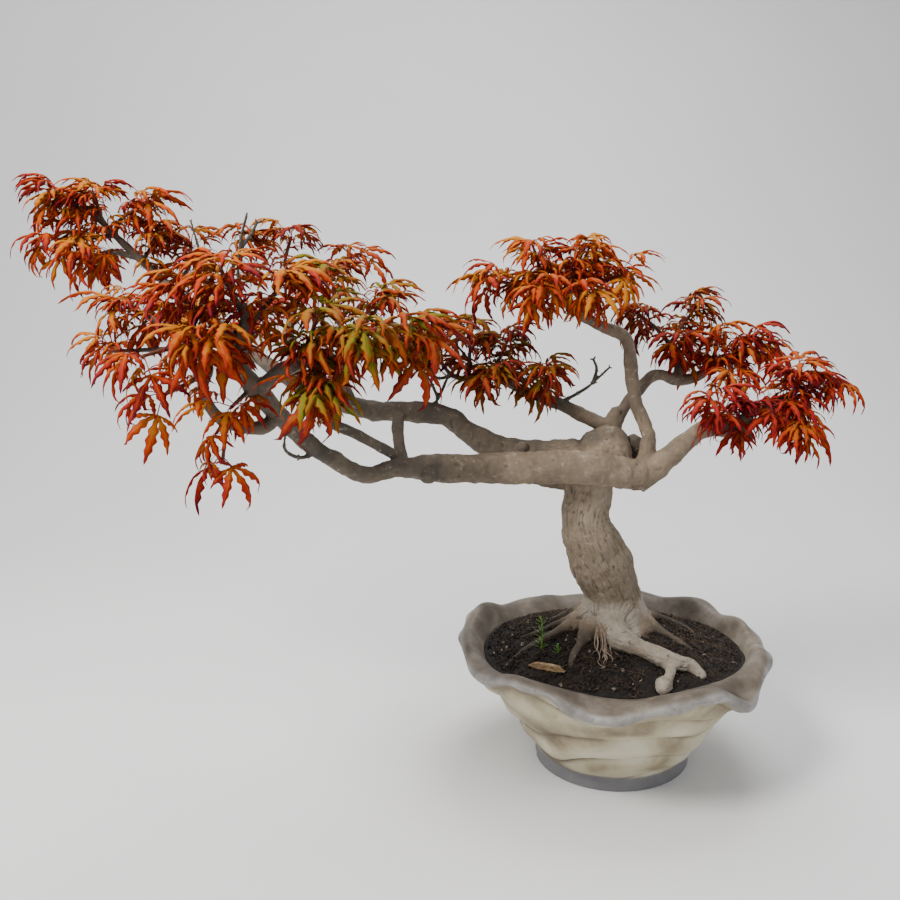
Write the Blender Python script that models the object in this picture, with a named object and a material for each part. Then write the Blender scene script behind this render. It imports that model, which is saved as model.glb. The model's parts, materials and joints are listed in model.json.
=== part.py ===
"""A Japanese maple of the lion's-head kind, grown as a bonsai in a hand-built clay bowl.

Metres, +Z up. The origin is the middle of the bowl's flat foot, +X is the viewer's right
and +Y points away from the viewer. The long crown reaches out to the left.
"""
import math
import random

import bpy
import numpy as np
from mathutils import Vector
from mathutils.bvhtree import BVHTree

# Driving dimensions

GAP = 0.0003                 # between pieces that touch
FOOT_RADIUS = 0.075
FOOT_HEIGHT = 0.012
FLOOR_RADIUS = 0.062
FLOOR_TOP = 0.019            # the inside floor of the bowl
BOWL_SEGMENTS = 32
SOIL_EDGE = 10               # the point of the bowl's profile where the soil starts

DRAIN_RADIUS = 0.009
DRAIN_OFFSET = 0.042         # drain holes, left and right of the middle
GROOVE_WIDTH = 0.012         # lets water out under the foot
GROOVE_DEPTH = 0.004
SCREEN_SIDE = 0.030
SCREEN_THICKNESS = 0.0015
SCREEN_BAR = 0.0026
SCREEN_OPENINGS = 2          # along each side

MOUND_TOP = 0.137            # soil heaped round the foot of the trunk
MOUND_RADIUS = 0.037

LEAF_SIZE = 0.043            # middle lobe of a full-grown leaf, from hub to tip
LEAF_RIB = 0.0016            # thickness of a blade at its midrib
LOBE_WIDTH = 0.23            # widest part of a lobe, as a share of its length
WIDEST_AT = 0.42             # where along the lobe that is
LOBE_ANGLES = (-84, -43, 0, 43, 84)
LOBE_SHARES = (0.62, 0.92, 1.0, 0.92, 0.62)
LOBE_BEND_POWER = 1.3
LOBE_STEPS = 8               # stretches that a lobe's curve is summed over
NOTCH_SHARE = 0.15           # distance of a notch from the hub, as a share of the leaf
HEEL_SHARE = 0.08            # the same for the two corners where the petiole joins the blade
HEEL_ANGLE = math.radians(52)
MARGIN_DROP = 0.0008         # a lobe's edges hang this much below its midrib's underside
PIT_DEPTH = 0.0012           # how far a leaf bulges below its hub
BLADE_FACES = 41             # a leaf's faces without its petiole, which come first
SHOOT_LENGTH = 0.019
SHOOT_OVERRUN = 1.06         # the shoot goes a little past its last leaf
SHOOT_RADII = (0.0017, 0.0013)
TWIG_RADII = (0.0027, 0.0019)
PETIOLE_RADIUS = 0.0008
CLEARANCE = 0.0004           # each leaf keeps this clear of every other solid
MOST_TRIES = 40
SEED = 8

# The bowl's lip, every 15 degrees from +X: its height rises and falls in a ruffle
LIP_HEIGHTS = (
    0.113, 0.119, 0.113, 0.119, 0.113, 0.116, 0.112, 0.112,
    0.115, 0.116, 0.128, 0.123, 0.120, 0.111, 0.118, 0.128,
    0.125, 0.110, 0.116, 0.124, 0.122, 0.104, 0.119, 0.119,
)
LIP_RADII = (
    0.145, 0.149, 0.148, 0.152, 0.150, 0.151, 0.149, 0.150,
    0.148, 0.149, 0.152, 0.151, 0.150, 0.148, 0.150, 0.151,
    0.149, 0.146, 0.147, 0.150, 0.149, 0.151, 0.149, 0.146,
)
# Where the soil meets the lip, every 30 degrees from +X
EDGE_RADII = (0.126, 0.127, 0.124, 0.124, 0.124, 0.126, 0.126, 0.122, 0.116, 0.113, 0.117, 0.123)
EDGE_HEIGHTS = (0.105, 0.104, 0.102, 0.101, 0.104, 0.108, 0.107, 0.110, 0.115, 0.113, 0.116, 0.113)

TRUNK_SIDES = 10
ROOT_SIDES = 5
TWIG_SIDES = 3
SHOOT_SIDES = 4

# Routes of the living wood: (x, y, z, radius), each starting inside what it grows from

TRUNK = (
    (0.002, 0.000, 0.104, 0.040), (0.001, 0.000, 0.130, 0.041), (0.000, 0.000, 0.144, 0.035),
    (-0.001, -0.001, 0.156, 0.030), (-0.003, -0.003, 0.172, 0.0265), (-0.008, -0.006, 0.188, 0.0275),
    (-0.015, -0.008, 0.203, 0.0290), (-0.022, -0.010, 0.220, 0.0265), (-0.028, -0.010, 0.235, 0.0235),
    (-0.030, -0.010, 0.250, 0.0220), (-0.027, -0.010, 0.268, 0.0220), (-0.024, -0.008, 0.284, 0.0225),
    (-0.012, 0.000, 0.300, 0.0270), (-0.006, 0.006, 0.313, 0.0240),
)
LIMBS = {
    # the pale bar that crosses in front of the trunk and sweeps to the lower left
    "front_limb": (
        (0.024, -0.013, 0.286, 0.0150), (-0.019, -0.028, 0.297, 0.0150), (-0.056, -0.035, 0.301, 0.0150),
        (-0.110, -0.035, 0.301, 0.0145), (-0.145, -0.045, 0.304, 0.0130), (-0.172, -0.058, 0.308, 0.0120),
        (-0.199, -0.070, 0.312, 0.0085), (-0.224, -0.082, 0.309, 0.0078), (-0.241, -0.091, 0.317, 0.0078),
        (-0.256, -0.101, 0.330, 0.0076), (-0.270, -0.113, 0.344, 0.0076), (-0.284, -0.126, 0.363, 0.0078),
        (-0.297, -0.137, 0.382, 0.0085), (-0.306, -0.147, 0.397, 0.0085), (-0.309, -0.151, 0.404, 0.0065),
    ),
    # the thick dark limb behind it, which goes on to the far left tip of the crown
    "long_limb": (
        (-0.018, 0.004, 0.294, 0.0230), (-0.052, 0.005, 0.294, 0.0240), (-0.080, 0.008, 0.297, 0.0210),
        (-0.099, 0.010, 0.303, 0.0170), (-0.118, 0.012, 0.312, 0.0130), (-0.141, 0.012, 0.328, 0.0110),
        (-0.155, 0.010, 0.339, 0.0105), (-0.173, 0.010, 0.345, 0.0102), (-0.201, 0.008, 0.347, 0.0100),
        (-0.225, 0.005, 0.348, 0.0095), (-0.247, 0.002, 0.355, 0.0090), (-0.262, 0.001, 0.363, 0.0086),
        (-0.295, 0.001, 0.377, 0.0080), (-0.338, 0.012, 0.406, 0.0065), (-0.382, 0.023, 0.441, 0.0050),
        (-0.414, 0.028, 0.467, 0.0042), (-0.436, 0.030, 0.489, 0.0036), (-0.458, 0.028, 0.512, 0.0030),
    ),
    "graft": (
        (-0.196, -0.066, 0.312, 0.0070), (-0.199, -0.045, 0.320, 0.0052), (-0.202, -0.020, 0.333, 0.0052),
        (-0.203, 0.004, 0.345, 0.0065),
    ),
    "lower_left_twig": (
        (-0.198, -0.060, 0.318, 0.0050), (-0.219, -0.075, 0.334, 0.0045), (-0.239, -0.085, 0.348, 0.0044),
        (-0.251, -0.090, 0.355, 0.0044), (-0.254, -0.091, 0.366, 0.0040), (-0.257, -0.092, 0.374, 0.0034),
    ),
    "hooked_twig": (
        (-0.290, -0.132, 0.370, 0.0060), (-0.303, -0.143, 0.364, 0.0056), (-0.317, -0.150, 0.367, 0.0054),
        (-0.330, -0.155, 0.373, 0.0052), (-0.339, -0.156, 0.385, 0.0048), (-0.342, -0.155, 0.399, 0.0044),
        (-0.338, -0.151, 0.412, 0.0040), (-0.344, -0.146, 0.428, 0.0034),
    ),
    "front_riser": (
        (-0.305, -0.147, 0.396, 0.0078), (-0.311, -0.160, 0.411, 0.0072), (-0.313, -0.170, 0.427, 0.0066),
        (-0.306, -0.181, 0.440, 0.0058), (-0.299, -0.190, 0.450, 0.0050), (-0.300, -0.194, 0.462, 0.0044),
    ),
    "front_spreader": (
        (-0.302, -0.145, 0.394, 0.0064), (-0.285, -0.166, 0.409, 0.0054), (-0.271, -0.180, 0.417, 0.0048),
        (-0.259, -0.188, 0.421, 0.0042), (-0.232, -0.192, 0.423, 0.0036), (-0.208, -0.192, 0.425, 0.0032),
    ),
    "middle_riser": (
        (-0.244, 0.003, 0.353, 0.0060), (-0.250, -0.016, 0.380, 0.0046), (-0.249, -0.034, 0.405, 0.0040),
        (-0.243, -0.042, 0.426, 0.0034),
    ),
    "back_riser": (
        (-0.292, 0.001, 0.376, 0.0060), (-0.302, 0.018, 0.410, 0.0046), (-0.299, 0.030, 0.440, 0.0040),
        (-0.290, 0.034, 0.460, 0.0034),
    ),
    "right_limb": (
        (0.016, -0.014, 0.282, 0.0140), (0.038, -0.015, 0.296, 0.0115), (0.056, -0.015, 0.313, 0.0095),
        (0.073, -0.018, 0.328, 0.0085), (0.087, -0.020, 0.332, 0.0085), (0.104, -0.022, 0.329, 0.0090),
        (0.114, -0.024, 0.335, 0.0070),
    ),
    "right_tip": (
        (0.107, -0.022, 0.333, 0.0055), (0.118, -0.026, 0.347, 0.0042), (0.133, -0.030, 0.356, 0.0036),
        (0.147, -0.034, 0.359, 0.0032),
    ),
    "stub_stem": (
        (-0.003, 0.003, 0.300, 0.0100), (-0.002, 0.007, 0.318, 0.0088), (-0.002, 0.009, 0.334, 0.0080),
        (0.003, 0.012, 0.342, 0.0068),
    ),
    "centre_limb": (
        (-0.003, 0.008, 0.326, 0.0075), (-0.020, 0.012, 0.334, 0.0068), (-0.050, 0.022, 0.348, 0.0060),
        (-0.078, 0.031, 0.358, 0.0054), (-0.101, 0.038, 0.369, 0.0046), (-0.124, 0.041, 0.376, 0.0038),
        (-0.139, 0.042, 0.371, 0.0032), (-0.152, 0.042, 0.375, 0.0028),
    ),
    "right_riser": (
        (0.000, 0.009, 0.333, 0.0074), (0.014, 0.019, 0.350, 0.0062), (0.027, 0.030, 0.361, 0.0060),
        (0.044, 0.041, 0.372, 0.0058), (0.070, 0.054, 0.364, 0.0056), (0.090, 0.061, 0.367, 0.0050),
        (0.103, 0.064, 0.376, 0.0036),
    ),
    "back_right_riser": (
        (0.068, 0.052, 0.366, 0.0046), (0.070, 0.064, 0.380, 0.0040), (0.064, 0.076, 0.396, 0.0034),
    ),
    "top_riser": (
        (0.022, -0.012, 0.288, 0.0100), (0.026, -0.010, 0.307, 0.0078), (0.028, -0.008, 0.323, 0.0072),
        (0.023, -0.005, 0.337, 0.0066), (0.018, -0.002, 0.350, 0.0066), (0.015, 0.000, 0.366, 0.0064),
        (0.012, 0.004, 0.391, 0.0062), (0.009, 0.007, 0.409, 0.0060), (0.002, 0.009, 0.416, 0.0058),
        (-0.016, 0.010, 0.423, 0.0056), (-0.034, 0.011, 0.435, 0.0058), (-0.047, 0.012, 0.446, 0.0054),
        (-0.055, 0.012, 0.454, 0.0040),
    ),
}
# Short lumps where branches were cut back and healed: (x, y, z) from, (x, y, z) to, radius
CUT_SCARS = (
    ((-0.020, 0.008, 0.300), (-0.024, 0.006, 0.317), 0.0130),
    ((0.012, 0.010, 0.298), (0.020, 0.010, 0.315), 0.0110),
    ((-0.174, -0.058, 0.306), (-0.175, -0.071, 0.304), 0.0095),
    ((0.104, -0.022, 0.327), (0.116, -0.026, 0.324), 0.0075),
    ((-0.086, 0.010, 0.303), (-0.088, -0.006, 0.314), 0.0070),
)
# Leafless twigs with resting buds
BARE_TWIGS = (
    ((-0.340, 0.012, 0.407), (-0.342, 0.000, 0.470), (-0.337, -0.004, 0.505), (-0.330, -0.004, 0.528)),
    ((-0.338, -0.002, 0.498), (-0.327, -0.002, 0.512), (-0.322, -0.002, 0.521)),
    ((-0.372, 0.020, 0.433), (-0.378, 0.026, 0.480), (-0.388, 0.030, 0.523)),
    ((-0.152, 0.041, 0.375), (-0.166, 0.040, 0.373), (-0.178, 0.040, 0.386)),
    ((-0.128, 0.041, 0.376), (-0.138, 0.048, 0.392), (-0.146, 0.050, 0.402)),
    ((-0.178, 0.010, 0.346), (-0.166, 0.014, 0.356), (-0.156, 0.020, 0.376), (-0.151, 0.022, 0.383)),
    ((-0.165, 0.014, 0.357), (-0.171, 0.018, 0.371), (-0.175, 0.018, 0.379)),
    ((-0.060, 0.026, 0.352), (-0.070, 0.030, 0.366), (-0.072, 0.032, 0.380)),
    ((-0.052, 0.022, 0.349), (-0.036, 0.018, 0.358), (-0.022, 0.014, 0.368), (-0.006, 0.010, 0.384)),
    ((-0.021, 0.014, 0.368), (-0.017, 0.014, 0.382), (-0.020, 0.014, 0.391)),
    ((-0.262, -0.108, 0.335), (-0.277, -0.120, 0.334), (-0.287, -0.127, 0.342), (-0.286, -0.131, 0.354)),
)
# Surface roots: (x, y, height of the middle above the soil, radius)
ROOTS = (
    ((-0.006, -0.024, 0.006, 0.0180), (-0.003, -0.044, 0.006, 0.0120), (0.014, -0.058, 0.006, 0.0085),
     (0.034, -0.072, 0.006, 0.0080), (0.047, -0.078, 0.006, 0.0070), (0.057, -0.077, 0.004, 0.0060),
     (0.066, -0.083, -0.002, 0.0050)),
    ((0.036, -0.073, 0.005, 0.0062), (0.038, -0.085, 0.004, 0.0055), (0.033, -0.095, 0.002, 0.0055),
     (0.028, -0.102, 0.002, 0.0085), (0.026, -0.107, 0.002, 0.0060)),
    ((-0.026, -0.006, 0.006, 0.0140), (-0.052, -0.010, 0.003, 0.0080), (-0.068, -0.013, 0.001, 0.0055),
     (-0.087, -0.020, 0.000, 0.0042), (-0.099, -0.027, -0.003, 0.0030)),
    ((-0.022, -0.022, 0.004, 0.0150), (-0.036, -0.040, 0.002, 0.0090), (-0.046, -0.056, 0.000, 0.0055),
     (-0.050, -0.068, -0.003, 0.0035)),
    ((0.020, 0.006, 0.004, 0.0150), (0.044, 0.020, 0.002, 0.0075), (0.060, 0.026, 0.001, 0.0055),
     (0.077, 0.018, 0.000, 0.0045), (0.084, 0.002, -0.003, 0.0032)),
    ((0.022, -0.006, 0.003, 0.0130), (0.044, -0.020, 0.001, 0.0065), (0.060, -0.034, 0.000, 0.0045),
     (0.072, -0.040, -0.003, 0.0030)),
    ((0.002, 0.024, 0.004, 0.0140), (0.012, 0.046, 0.001, 0.0075), (0.024, 0.062, -0.003, 0.0040)),
    ((-0.022, 0.014, 0.004, 0.0140), (-0.044, 0.030, 0.001, 0.0075), (-0.060, 0.040, -0.003, 0.0040)),
    ((-0.030, 0.000, 0.003, 0.0110), (-0.056, 0.010, 0.001, 0.0055), (-0.076, 0.008, 0.000, 0.0042),
     (-0.092, 0.014, -0.003, 0.0030)),
)

# Leafy sprays, by the part of the crown they belong to, with the colour their leaves have turned:
# (x, y, z) where the shoot leaves its twig, the way it points, leaves on it, size against LEAF_SIZE
SPRAYS = {
    "far_left": ("orange", (
        ((-0.470, 0.028, 0.532), (-0.2, -0.1, 1.0), 4, 1.0),
        ((-0.488, 0.025, 0.538), (-1.0, -0.2, 0.5), 4, 1.0),
        ((-0.495, 0.028, 0.510), (-1.0, -0.4, 0.0), 3, 1.0),
        ((-0.464, 0.018, 0.497), (-0.6, -0.6, -0.1), 3, 1.0),
        ((-0.448, 0.032, 0.530), (1.0, 0.0, 0.5), 3, 1.0),
    )),
    "left_back": ("russet", (
        ((-0.430, 0.040, 0.500), (0.4, -0.3, 0.6), 3, 0.92),
        ((-0.395, 0.045, 0.486), (0.0, 0.4, 0.9), 3, 0.92),
        ((-0.353, 0.045, 0.486), (0.3, 0.4, 0.9), 3, 0.92),
        ((-0.305, 0.040, 0.489), (0.3, 0.1, 0.9), 3, 0.9),
        ((-0.257, 0.020, 0.473), (0.8, 0.2, 0.6), 3, 0.92),
    )),
    "left_front": ("scarlet", (
        ((-0.307, -0.195, 0.472), (-0.3, -0.3, 0.9), 4, 1.05),
        ((-0.337, -0.170, 0.458), (-0.8, -0.3, 0.6), 4, 1.05),
        ((-0.283, -0.180, 0.465), (0.62, 0.04, 0.8), 3, 1.02),
        ((-0.386, -0.130, 0.450), (-0.9, 0.1, 0.4), 3, 1.0),
        ((-0.401, -0.125, 0.424), (-1.0, -0.1, 0.0), 3, 0.95),
        ((-0.366, -0.165, 0.429), (-0.66, -0.64, -0.16), 3, 0.99),
        ((-0.323, -0.190, 0.434), (-0.15, -0.88, 0.34), 4, 1.09),
        ((-0.355, -0.160, 0.401), (-0.7, -0.4, -0.3), 3, 0.95),
        ((-0.327, -0.158, 0.362), (-0.1, -0.3, -0.9), 2, 1.0),
        ((-0.312, -0.163, 0.391), (-0.2, -0.9, -0.2), 3, 0.9),
        ((-0.358, -0.120, 0.439), (-0.5, 0.7, 0.4), 3, 0.95),
        ((-0.307, -0.120, 0.438), (0.2, 0.8, 0.5), 3, 0.95),
    )),
    "middle": ("amber", (
        ((-0.254, -0.195, 0.436), (0.35, -0.25, 0.9), 4, 1.08),
        ((-0.225, -0.200, 0.436), (0.5, -0.8, 0.4), 3, 1.1),
        ((-0.196, -0.195, 0.436), (1.0, -0.2, 0.2), 4, 1.1),
        ((-0.246, -0.185, 0.403), (-0.2, -0.9, 0.0), 3, 1.05),
        ((-0.254, -0.060, 0.456), (-0.15, 0.05, 1.0), 3, 0.94),
        ((-0.222, -0.040, 0.438), (0.6, 0.0, 0.8), 3, 0.95),
        ((-0.193, -0.020, 0.421), (0.9, 0.1, 0.4), 3, 0.92),
        ((-0.253, -0.095, 0.384), (-0.2, -0.4, 0.7), 2, 0.9),
    )),
    "centre": ("maroon", (
        ((-0.166, 0.042, 0.394), (-0.4, -0.1, 0.9), 3, 0.95),
        ((-0.134, 0.042, 0.400), (0.0, -0.2, 1.0), 4, 0.98),
        ((-0.106, 0.040, 0.390), (0.4, 0.0, 0.9), 4, 0.98),
        ((-0.117, 0.020, 0.374), (0.0, -0.9, 0.3), 3, 0.95),
        ((-0.079, 0.022, 0.374), (0.7, -0.6, 0.4), 3, 0.98),
    )),
    "top": ("orange", (
        ((-0.070, 0.010, 0.474), (-0.3, 0.0, 1.0), 4, 0.98),
        ((-0.038, 0.012, 0.475), (0.4, 0.0, 0.9), 4, 0.98),
        ((-0.096, 0.005, 0.462), (-1.0, -0.2, 0.3), 4, 0.98),
        ((-0.068, -0.012, 0.456), (-0.2, -1.0, 0.1), 3, 0.98),
        ((-0.018, 0.005, 0.463), (1.0, -0.2, 0.2), 3, 0.95),
        ((-0.041, -0.010, 0.455), (0.4, -0.9, 0.1), 3, 0.98),
        ((-0.049, 0.035, 0.464), (0.1, 1.0, 0.4), 3, 0.92),
    )),
    "back_right": ("russet", (
        ((0.045, 0.082, 0.418), (-0.8, -0.1, 0.6), 3, 0.92),
        ((0.080, 0.082, 0.418), (0.6, 0.1, 0.8), 4, 0.92),
    )),
    "right": ("scarlet", (
        ((0.082, 0.065, 0.390), (-0.6, -0.6, 0.6), 3, 1.0),
        ((0.107, 0.068, 0.391), (0.1, 0.0, 1.0), 4, 0.98),
        ((0.128, 0.062, 0.389), (1.0, -0.2, 0.3), 4, 1.02),
        ((0.108, 0.050, 0.373), (0.3, -0.9, 0.0), 2, 0.9),
    )),
    "low_right": ("crimson", (
        ((0.089, -0.032, 0.343), (-0.5, -0.6, 0.6), 3, 1.0),
        ((0.115, -0.032, 0.347), (0.8, -0.5, 0.4), 3, 1.0),
    )),
    "far_right": ("scarlet", (
        ((0.151, -0.038, 0.369), (0.2, 0.0, 1.0), 4, 0.95),
        ((0.156, -0.036, 0.368), (1.0, 0.0, 0.4), 3, 0.95),
        ((0.142, -0.040, 0.352), (0.4, -0.5, -0.5), 2, 0.95),
    )),
}
TONES = {
    "orange": (0.62, 0.14, 0.03), "amber": (0.55, 0.19, 0.03), "scarlet": (0.55, 0.07, 0.03),
    "russet": (0.42, 0.09, 0.03), "maroon": (0.25, 0.04, 0.03), "crimson": (0.45, 0.02, 0.03),
}

WEED_AT = (-0.073, -0.030)
WEED_HEIGHT = 0.034
WEED_LEAVES = 6
STICK_FROM = (-0.086, -0.052)
STICK_TO = (-0.056, -0.076)


def clear_scene():
    for item in list(bpy.data.objects):
        bpy.data.objects.remove(item, do_unlink=True)


def material(name, colour, roughness, metallic=0.0):
    finish = bpy.data.materials.new(name)
    finish.use_nodes = True
    shader = finish.node_tree.nodes["Principled BSDF"]
    shader.inputs["Base Color"].default_value = (*colour, 1.0)
    shader.inputs["Roughness"].default_value = roughness
    shader.inputs["Metallic"].default_value = metallic
    return finish


def solid(name, points, faces, finish=None, smooth=False):
    """A mesh object with its place in its mesh."""
    mesh = bpy.data.meshes.new(name)
    mesh.from_pydata([tuple(map(float, p)) for p in points], [], [tuple(map(int, f)) for f in faces])
    mesh.update()
    if smooth:
        mesh.shade_smooth()
    item = bpy.data.objects.new(name, mesh)
    if finish:
        mesh.materials.append(finish)
    bpy.context.scene.collection.objects.link(item)
    return item


def fuse(solids):
    """One Boolean union of the first solid with the rest, applied; the rest are removed."""
    base = solids[0]
    repeats = bpy.data.collections.new(base.name + "_repeats")
    bpy.context.scene.collection.children.link(repeats)
    for item in solids[1:]:
        bpy.context.scene.collection.objects.unlink(item)
        repeats.objects.link(item)
    join = base.modifiers.new("Join", "BOOLEAN")
    join.operation = "UNION"
    join.operand_type = "COLLECTION"
    join.collection = repeats
    join.solver = "MANIFOLD"
    bpy.context.view_layer.update()
    joined = bpy.data.meshes.new_from_object(base.evaluated_get(bpy.context.evaluated_depsgraph_get()))
    base.modifiers.clear()
    base.data = joined
    joined.name = base.name
    for item in solids[1:]:
        bpy.data.objects.remove(item, do_unlink=True)
    bpy.data.collections.remove(repeats)
    return base


def cut(item, cutter):
    """Takes a hidden cutter out of a solid."""
    cutter.hide_render = True
    cutter.display_type = "WIRE"
    taken = item.modifiers.new("Cut " + cutter.name, "BOOLEAN")
    taken.operation = "DIFFERENCE"
    taken.object = cutter
    taken.solver = "EXACT"


# Tubes: the trunk, limbs, twigs, roots and shoots

def between(a, b, c, d, t):
    """The Catmull-Rom curve from b to c, at a share t of the way."""
    return 0.5 * (2 * b + (c - a) * t + (2 * a - 5 * b + 4 * c - d) * t**2 + (3 * b - a - 3 * c + d) * t**3)


def smooth_route(points, spacing):
    """(x, y, z, radius) rows on a smooth curve through the points, about `spacing` apart."""
    rows = np.array(points, float)
    padded = np.vstack([2 * rows[0] - rows[1], rows, 2 * rows[-1] - rows[-2]])
    out = [rows[0]]
    for a, b, c, d in zip(padded, padded[1:], padded[2:], padded[3:]):
        parts = max(1, round(float(np.linalg.norm((c - b)[:3])) / spacing))
        out += [between(a, b, c, d, t) for t in np.arange(1, parts + 1) / parts]
    return np.array(out)


def tube(name, rows, sides, grow=0.0, lumps=0.0, finish=None, ending=None):
    """A closed tube along (x, y, z, radius) rows; its flat far end is square to `ending`, if given."""
    draw = random.Random(name)
    centres = [Vector(row[:3]) for row in rows]
    side = None
    points, faces = [], []
    for i, row in enumerate(rows):
        along = (centres[min(i + 1, len(rows) - 1)] - centres[max(i - 1, 0)]).normalized()
        if ending and i == len(rows) - 1:
            along = ending
        if side is None:
            side = along.orthogonal().normalized()
        side = (side - along * side.dot(along)).normalized()
        other = along.cross(side)
        for k in range(sides):
            turn = 2 * math.pi * (k + 0.5) / sides
            radius = float(row[3]) * (1 + lumps * draw.uniform(-1, 1)) + grow
            points.append(centres[i] + radius * (math.cos(turn) * side + math.sin(turn) * other))
    last = (len(rows) - 1) * sides
    for i in range(len(rows) - 1):
        for k in range(sides):
            a, b = i * sides + k, i * sides + (k + 1) % sides
            faces.append((a, b, b + sides, a + sides))
    faces.append(tuple(reversed(range(sides))))
    faces.append(tuple(range(last, last + sides)))
    return solid(name, points, faces, finish)


# The bowl and its soil

def around(values, turn):
    """A smooth value that goes round in a ring through evenly spaced values, at a turn in radians."""
    count = len(values)
    place = (turn / (2 * math.pi)) % 1 * count
    i = int(place)
    a, b, c, d = (values[(i + k) % count] for k in (-1, 0, 1, 2))
    return between(a, b, c, d, place - i)


def bowl_profile(turn):
    """(radius, height) from the foot's edge up the outside, over the lip and down the inside."""
    lip_r, lip_z = around(LIP_RADII, turn), around(LIP_HEIGHTS, turn)
    edge_r, edge_z = around(EDGE_RADII, turn), around(EDGE_HEIGHTS, turn)
    sway = 0.002 * math.sin(3 * turn + 0.6) + 0.0015 * math.sin(5 * turn)
    return (
        (FOOT_RADIUS, 0.0), (FOOT_RADIUS, FOOT_HEIGHT), (0.081 + sway, 0.021), (0.097 + sway, 0.042),
        (0.112 + sway, 0.066), (0.129, 0.090),
        (lip_r - 0.007, lip_z - 0.011), (lip_r, lip_z - 0.005), (lip_r - 0.003, lip_z),
        (lip_r - 0.012, lip_z + 0.001), (edge_r, edge_z), (edge_r - 0.006, edge_z - 0.014),
        (0.094 + sway, 0.055), (0.074 + sway, 0.029), (FLOOR_RADIUS, FLOOR_TOP),
    )


def inner_profile(turn):
    """The part of the bowl's profile that holds the soil, from the floor up to the soil's edge."""
    return tuple(reversed(bowl_profile(turn)[SOIL_EDGE:]))


def turned_solid(name, profiles, finish, slant):
    """Rings of points round the Z axis, closed by flat discs at both ends.

    Each four-sided patch is split along the diagonal that slant names, 0 or 1, so that two
    solids with the same waved wall between them split it alike.
    """
    count, rings = len(profiles), len(profiles[0])
    points = [
        (r * math.cos(2 * math.pi * i / count), r * math.sin(2 * math.pi * i / count), z)
        for i, profile in enumerate(profiles) for r, z in profile
    ]
    faces = []
    for i in range(count):
        here, there = i * rings, (i + 1) % count * rings
        for k in range(rings - 1):
            a, b, c, d = here + k, there + k, there + k + 1, here + k + 1
            faces += [(b, c, d), (b, d, a)] if slant else [(a, b, c), (a, c, d)]
    faces.append(tuple(i * rings for i in reversed(range(count))))
    faces.append(tuple(i * rings + rings - 1 for i in range(count)))
    return solid(name, points, faces, finish, smooth=True)


def box(name, low, high):
    corners = [(x, y, z) for z in (low[2], high[2]) for y in (low[1], high[1]) for x in (low[0], high[0])]
    faces = ((0, 2, 3, 1), (4, 5, 7, 6), (0, 1, 5, 4), (2, 6, 7, 3), (0, 4, 6, 2), (1, 3, 7, 5))
    return solid(name, corners, faces)


def make_bowl():
    clay = material("glazed_clay", (0.56, 0.49, 0.38), 0.45)
    turns = [2 * math.pi * i / BOWL_SEGMENTS for i in range(BOWL_SEGMENTS)]
    bowl = turned_solid("bowl", [bowl_profile(turn) for turn in turns], clay, slant=0)
    for side, x in (("left", -DRAIN_OFFSET), ("right", DRAIN_OFFSET)):
        hole = tube("drain_" + side, ((x, 0, -0.01, DRAIN_RADIUS), (x, 0, 0.04, DRAIN_RADIUS)), 16)
        cut(bowl, hole)
        reach = math.copysign(FOOT_RADIUS + 0.01, x)
        low_x, high_x = sorted((x, reach))
        groove = box(
            "groove_" + side, (low_x, -GROOVE_WIDTH / 2, -0.01), (high_x, GROOVE_WIDTH / 2, GROOVE_DEPTH)
        )
        cut(bowl, groove)
    bowl.data.set_sharp_from_angle(angle=math.radians(40))
    return bowl


def make_screens():
    plastic = material("black_mesh", (0.03, 0.03, 0.03), 0.6)
    low = FLOOR_TOP + GAP
    high = low + SCREEN_THICKNESS
    count = SCREEN_OPENINGS
    opening = (SCREEN_SIDE - (count + 1) * SCREEN_BAR) / count
    for side, x in (("left", -DRAIN_OFFSET), ("right", DRAIN_OFFSET)):
        half = SCREEN_SIDE / 2
        screen = box("drain_screen_" + side, (x - half, -half, low), (x + half, half, high))
        screen.data.materials.append(plastic)
        cutters = []
        for i in range(count):
            for k in range(count):
                left = x - half + SCREEN_BAR + i * (opening + SCREEN_BAR)
                front = -half + SCREEN_BAR + k * (opening + SCREEN_BAR)
                name = f"mesh_{side}_{i}_{k}"
                cutters.append(box(name, (left, front, 0), (left + opening, front + opening, 2 * high)))
        for cutter in cutters:
            cut(screen, cutter)


def soil_height(x, y):
    """The heaped surface: flat at the foot of the trunk, falling to the lip."""
    turn = math.atan2(y, x)
    edge_r, edge_z = around(EDGE_RADII, turn), around(EDGE_HEIGHTS, turn)
    out = (math.hypot(x, y) - MOUND_RADIUS) / (edge_r - MOUND_RADIUS)
    return MOUND_TOP + (edge_z - MOUND_TOP) * max(0.0, min(1.0, out)) ** 0.9


def lengthened(rows):
    """Route rows with one more at each end, a gap farther on, so that a hole clears what it holds."""
    rows = [np.array(row, float) for row in rows]
    first, last = rows[0] - rows[1], rows[-1] - rows[-2]
    for step in (first, last):
        step *= GAP / np.linalg.norm(step[:3])
        step[3] = 0
    return [rows[0] + first, *rows, rows[-1] + last]


def trunk_rows():
    return smooth_route(TRUNK, 0.018)


def root_rows():
    return [
        smooth_route([(x, y, soil_height(x, y) + lift, radius) for x, y, lift, radius in route], 0.020)
        for route in ROOTS
    ]


def weed_rows():
    x, y = WEED_AT
    top = soil_height(x, y)
    return (
        (x, y, top - 0.005, 0.0013), (x, y, top + 0.012, 0.0012), (x, y, top + WEED_HEIGHT, 0.0009),
    )


def chip_rows():
    """A flake of pine bark lying half sunk in the soil."""
    rows = []
    for t, radius in ((0, 0.0016), (0.3, 0.0026), (0.7, 0.0030), (1, 0.0018)):
        x = STICK_FROM[0] + (STICK_TO[0] - STICK_FROM[0]) * t
        y = STICK_FROM[1] + (STICK_TO[1] - STICK_FROM[1]) * t
        rows.append((x, y, soil_height(x, y) + 0.0008, radius))
    return rows


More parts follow.
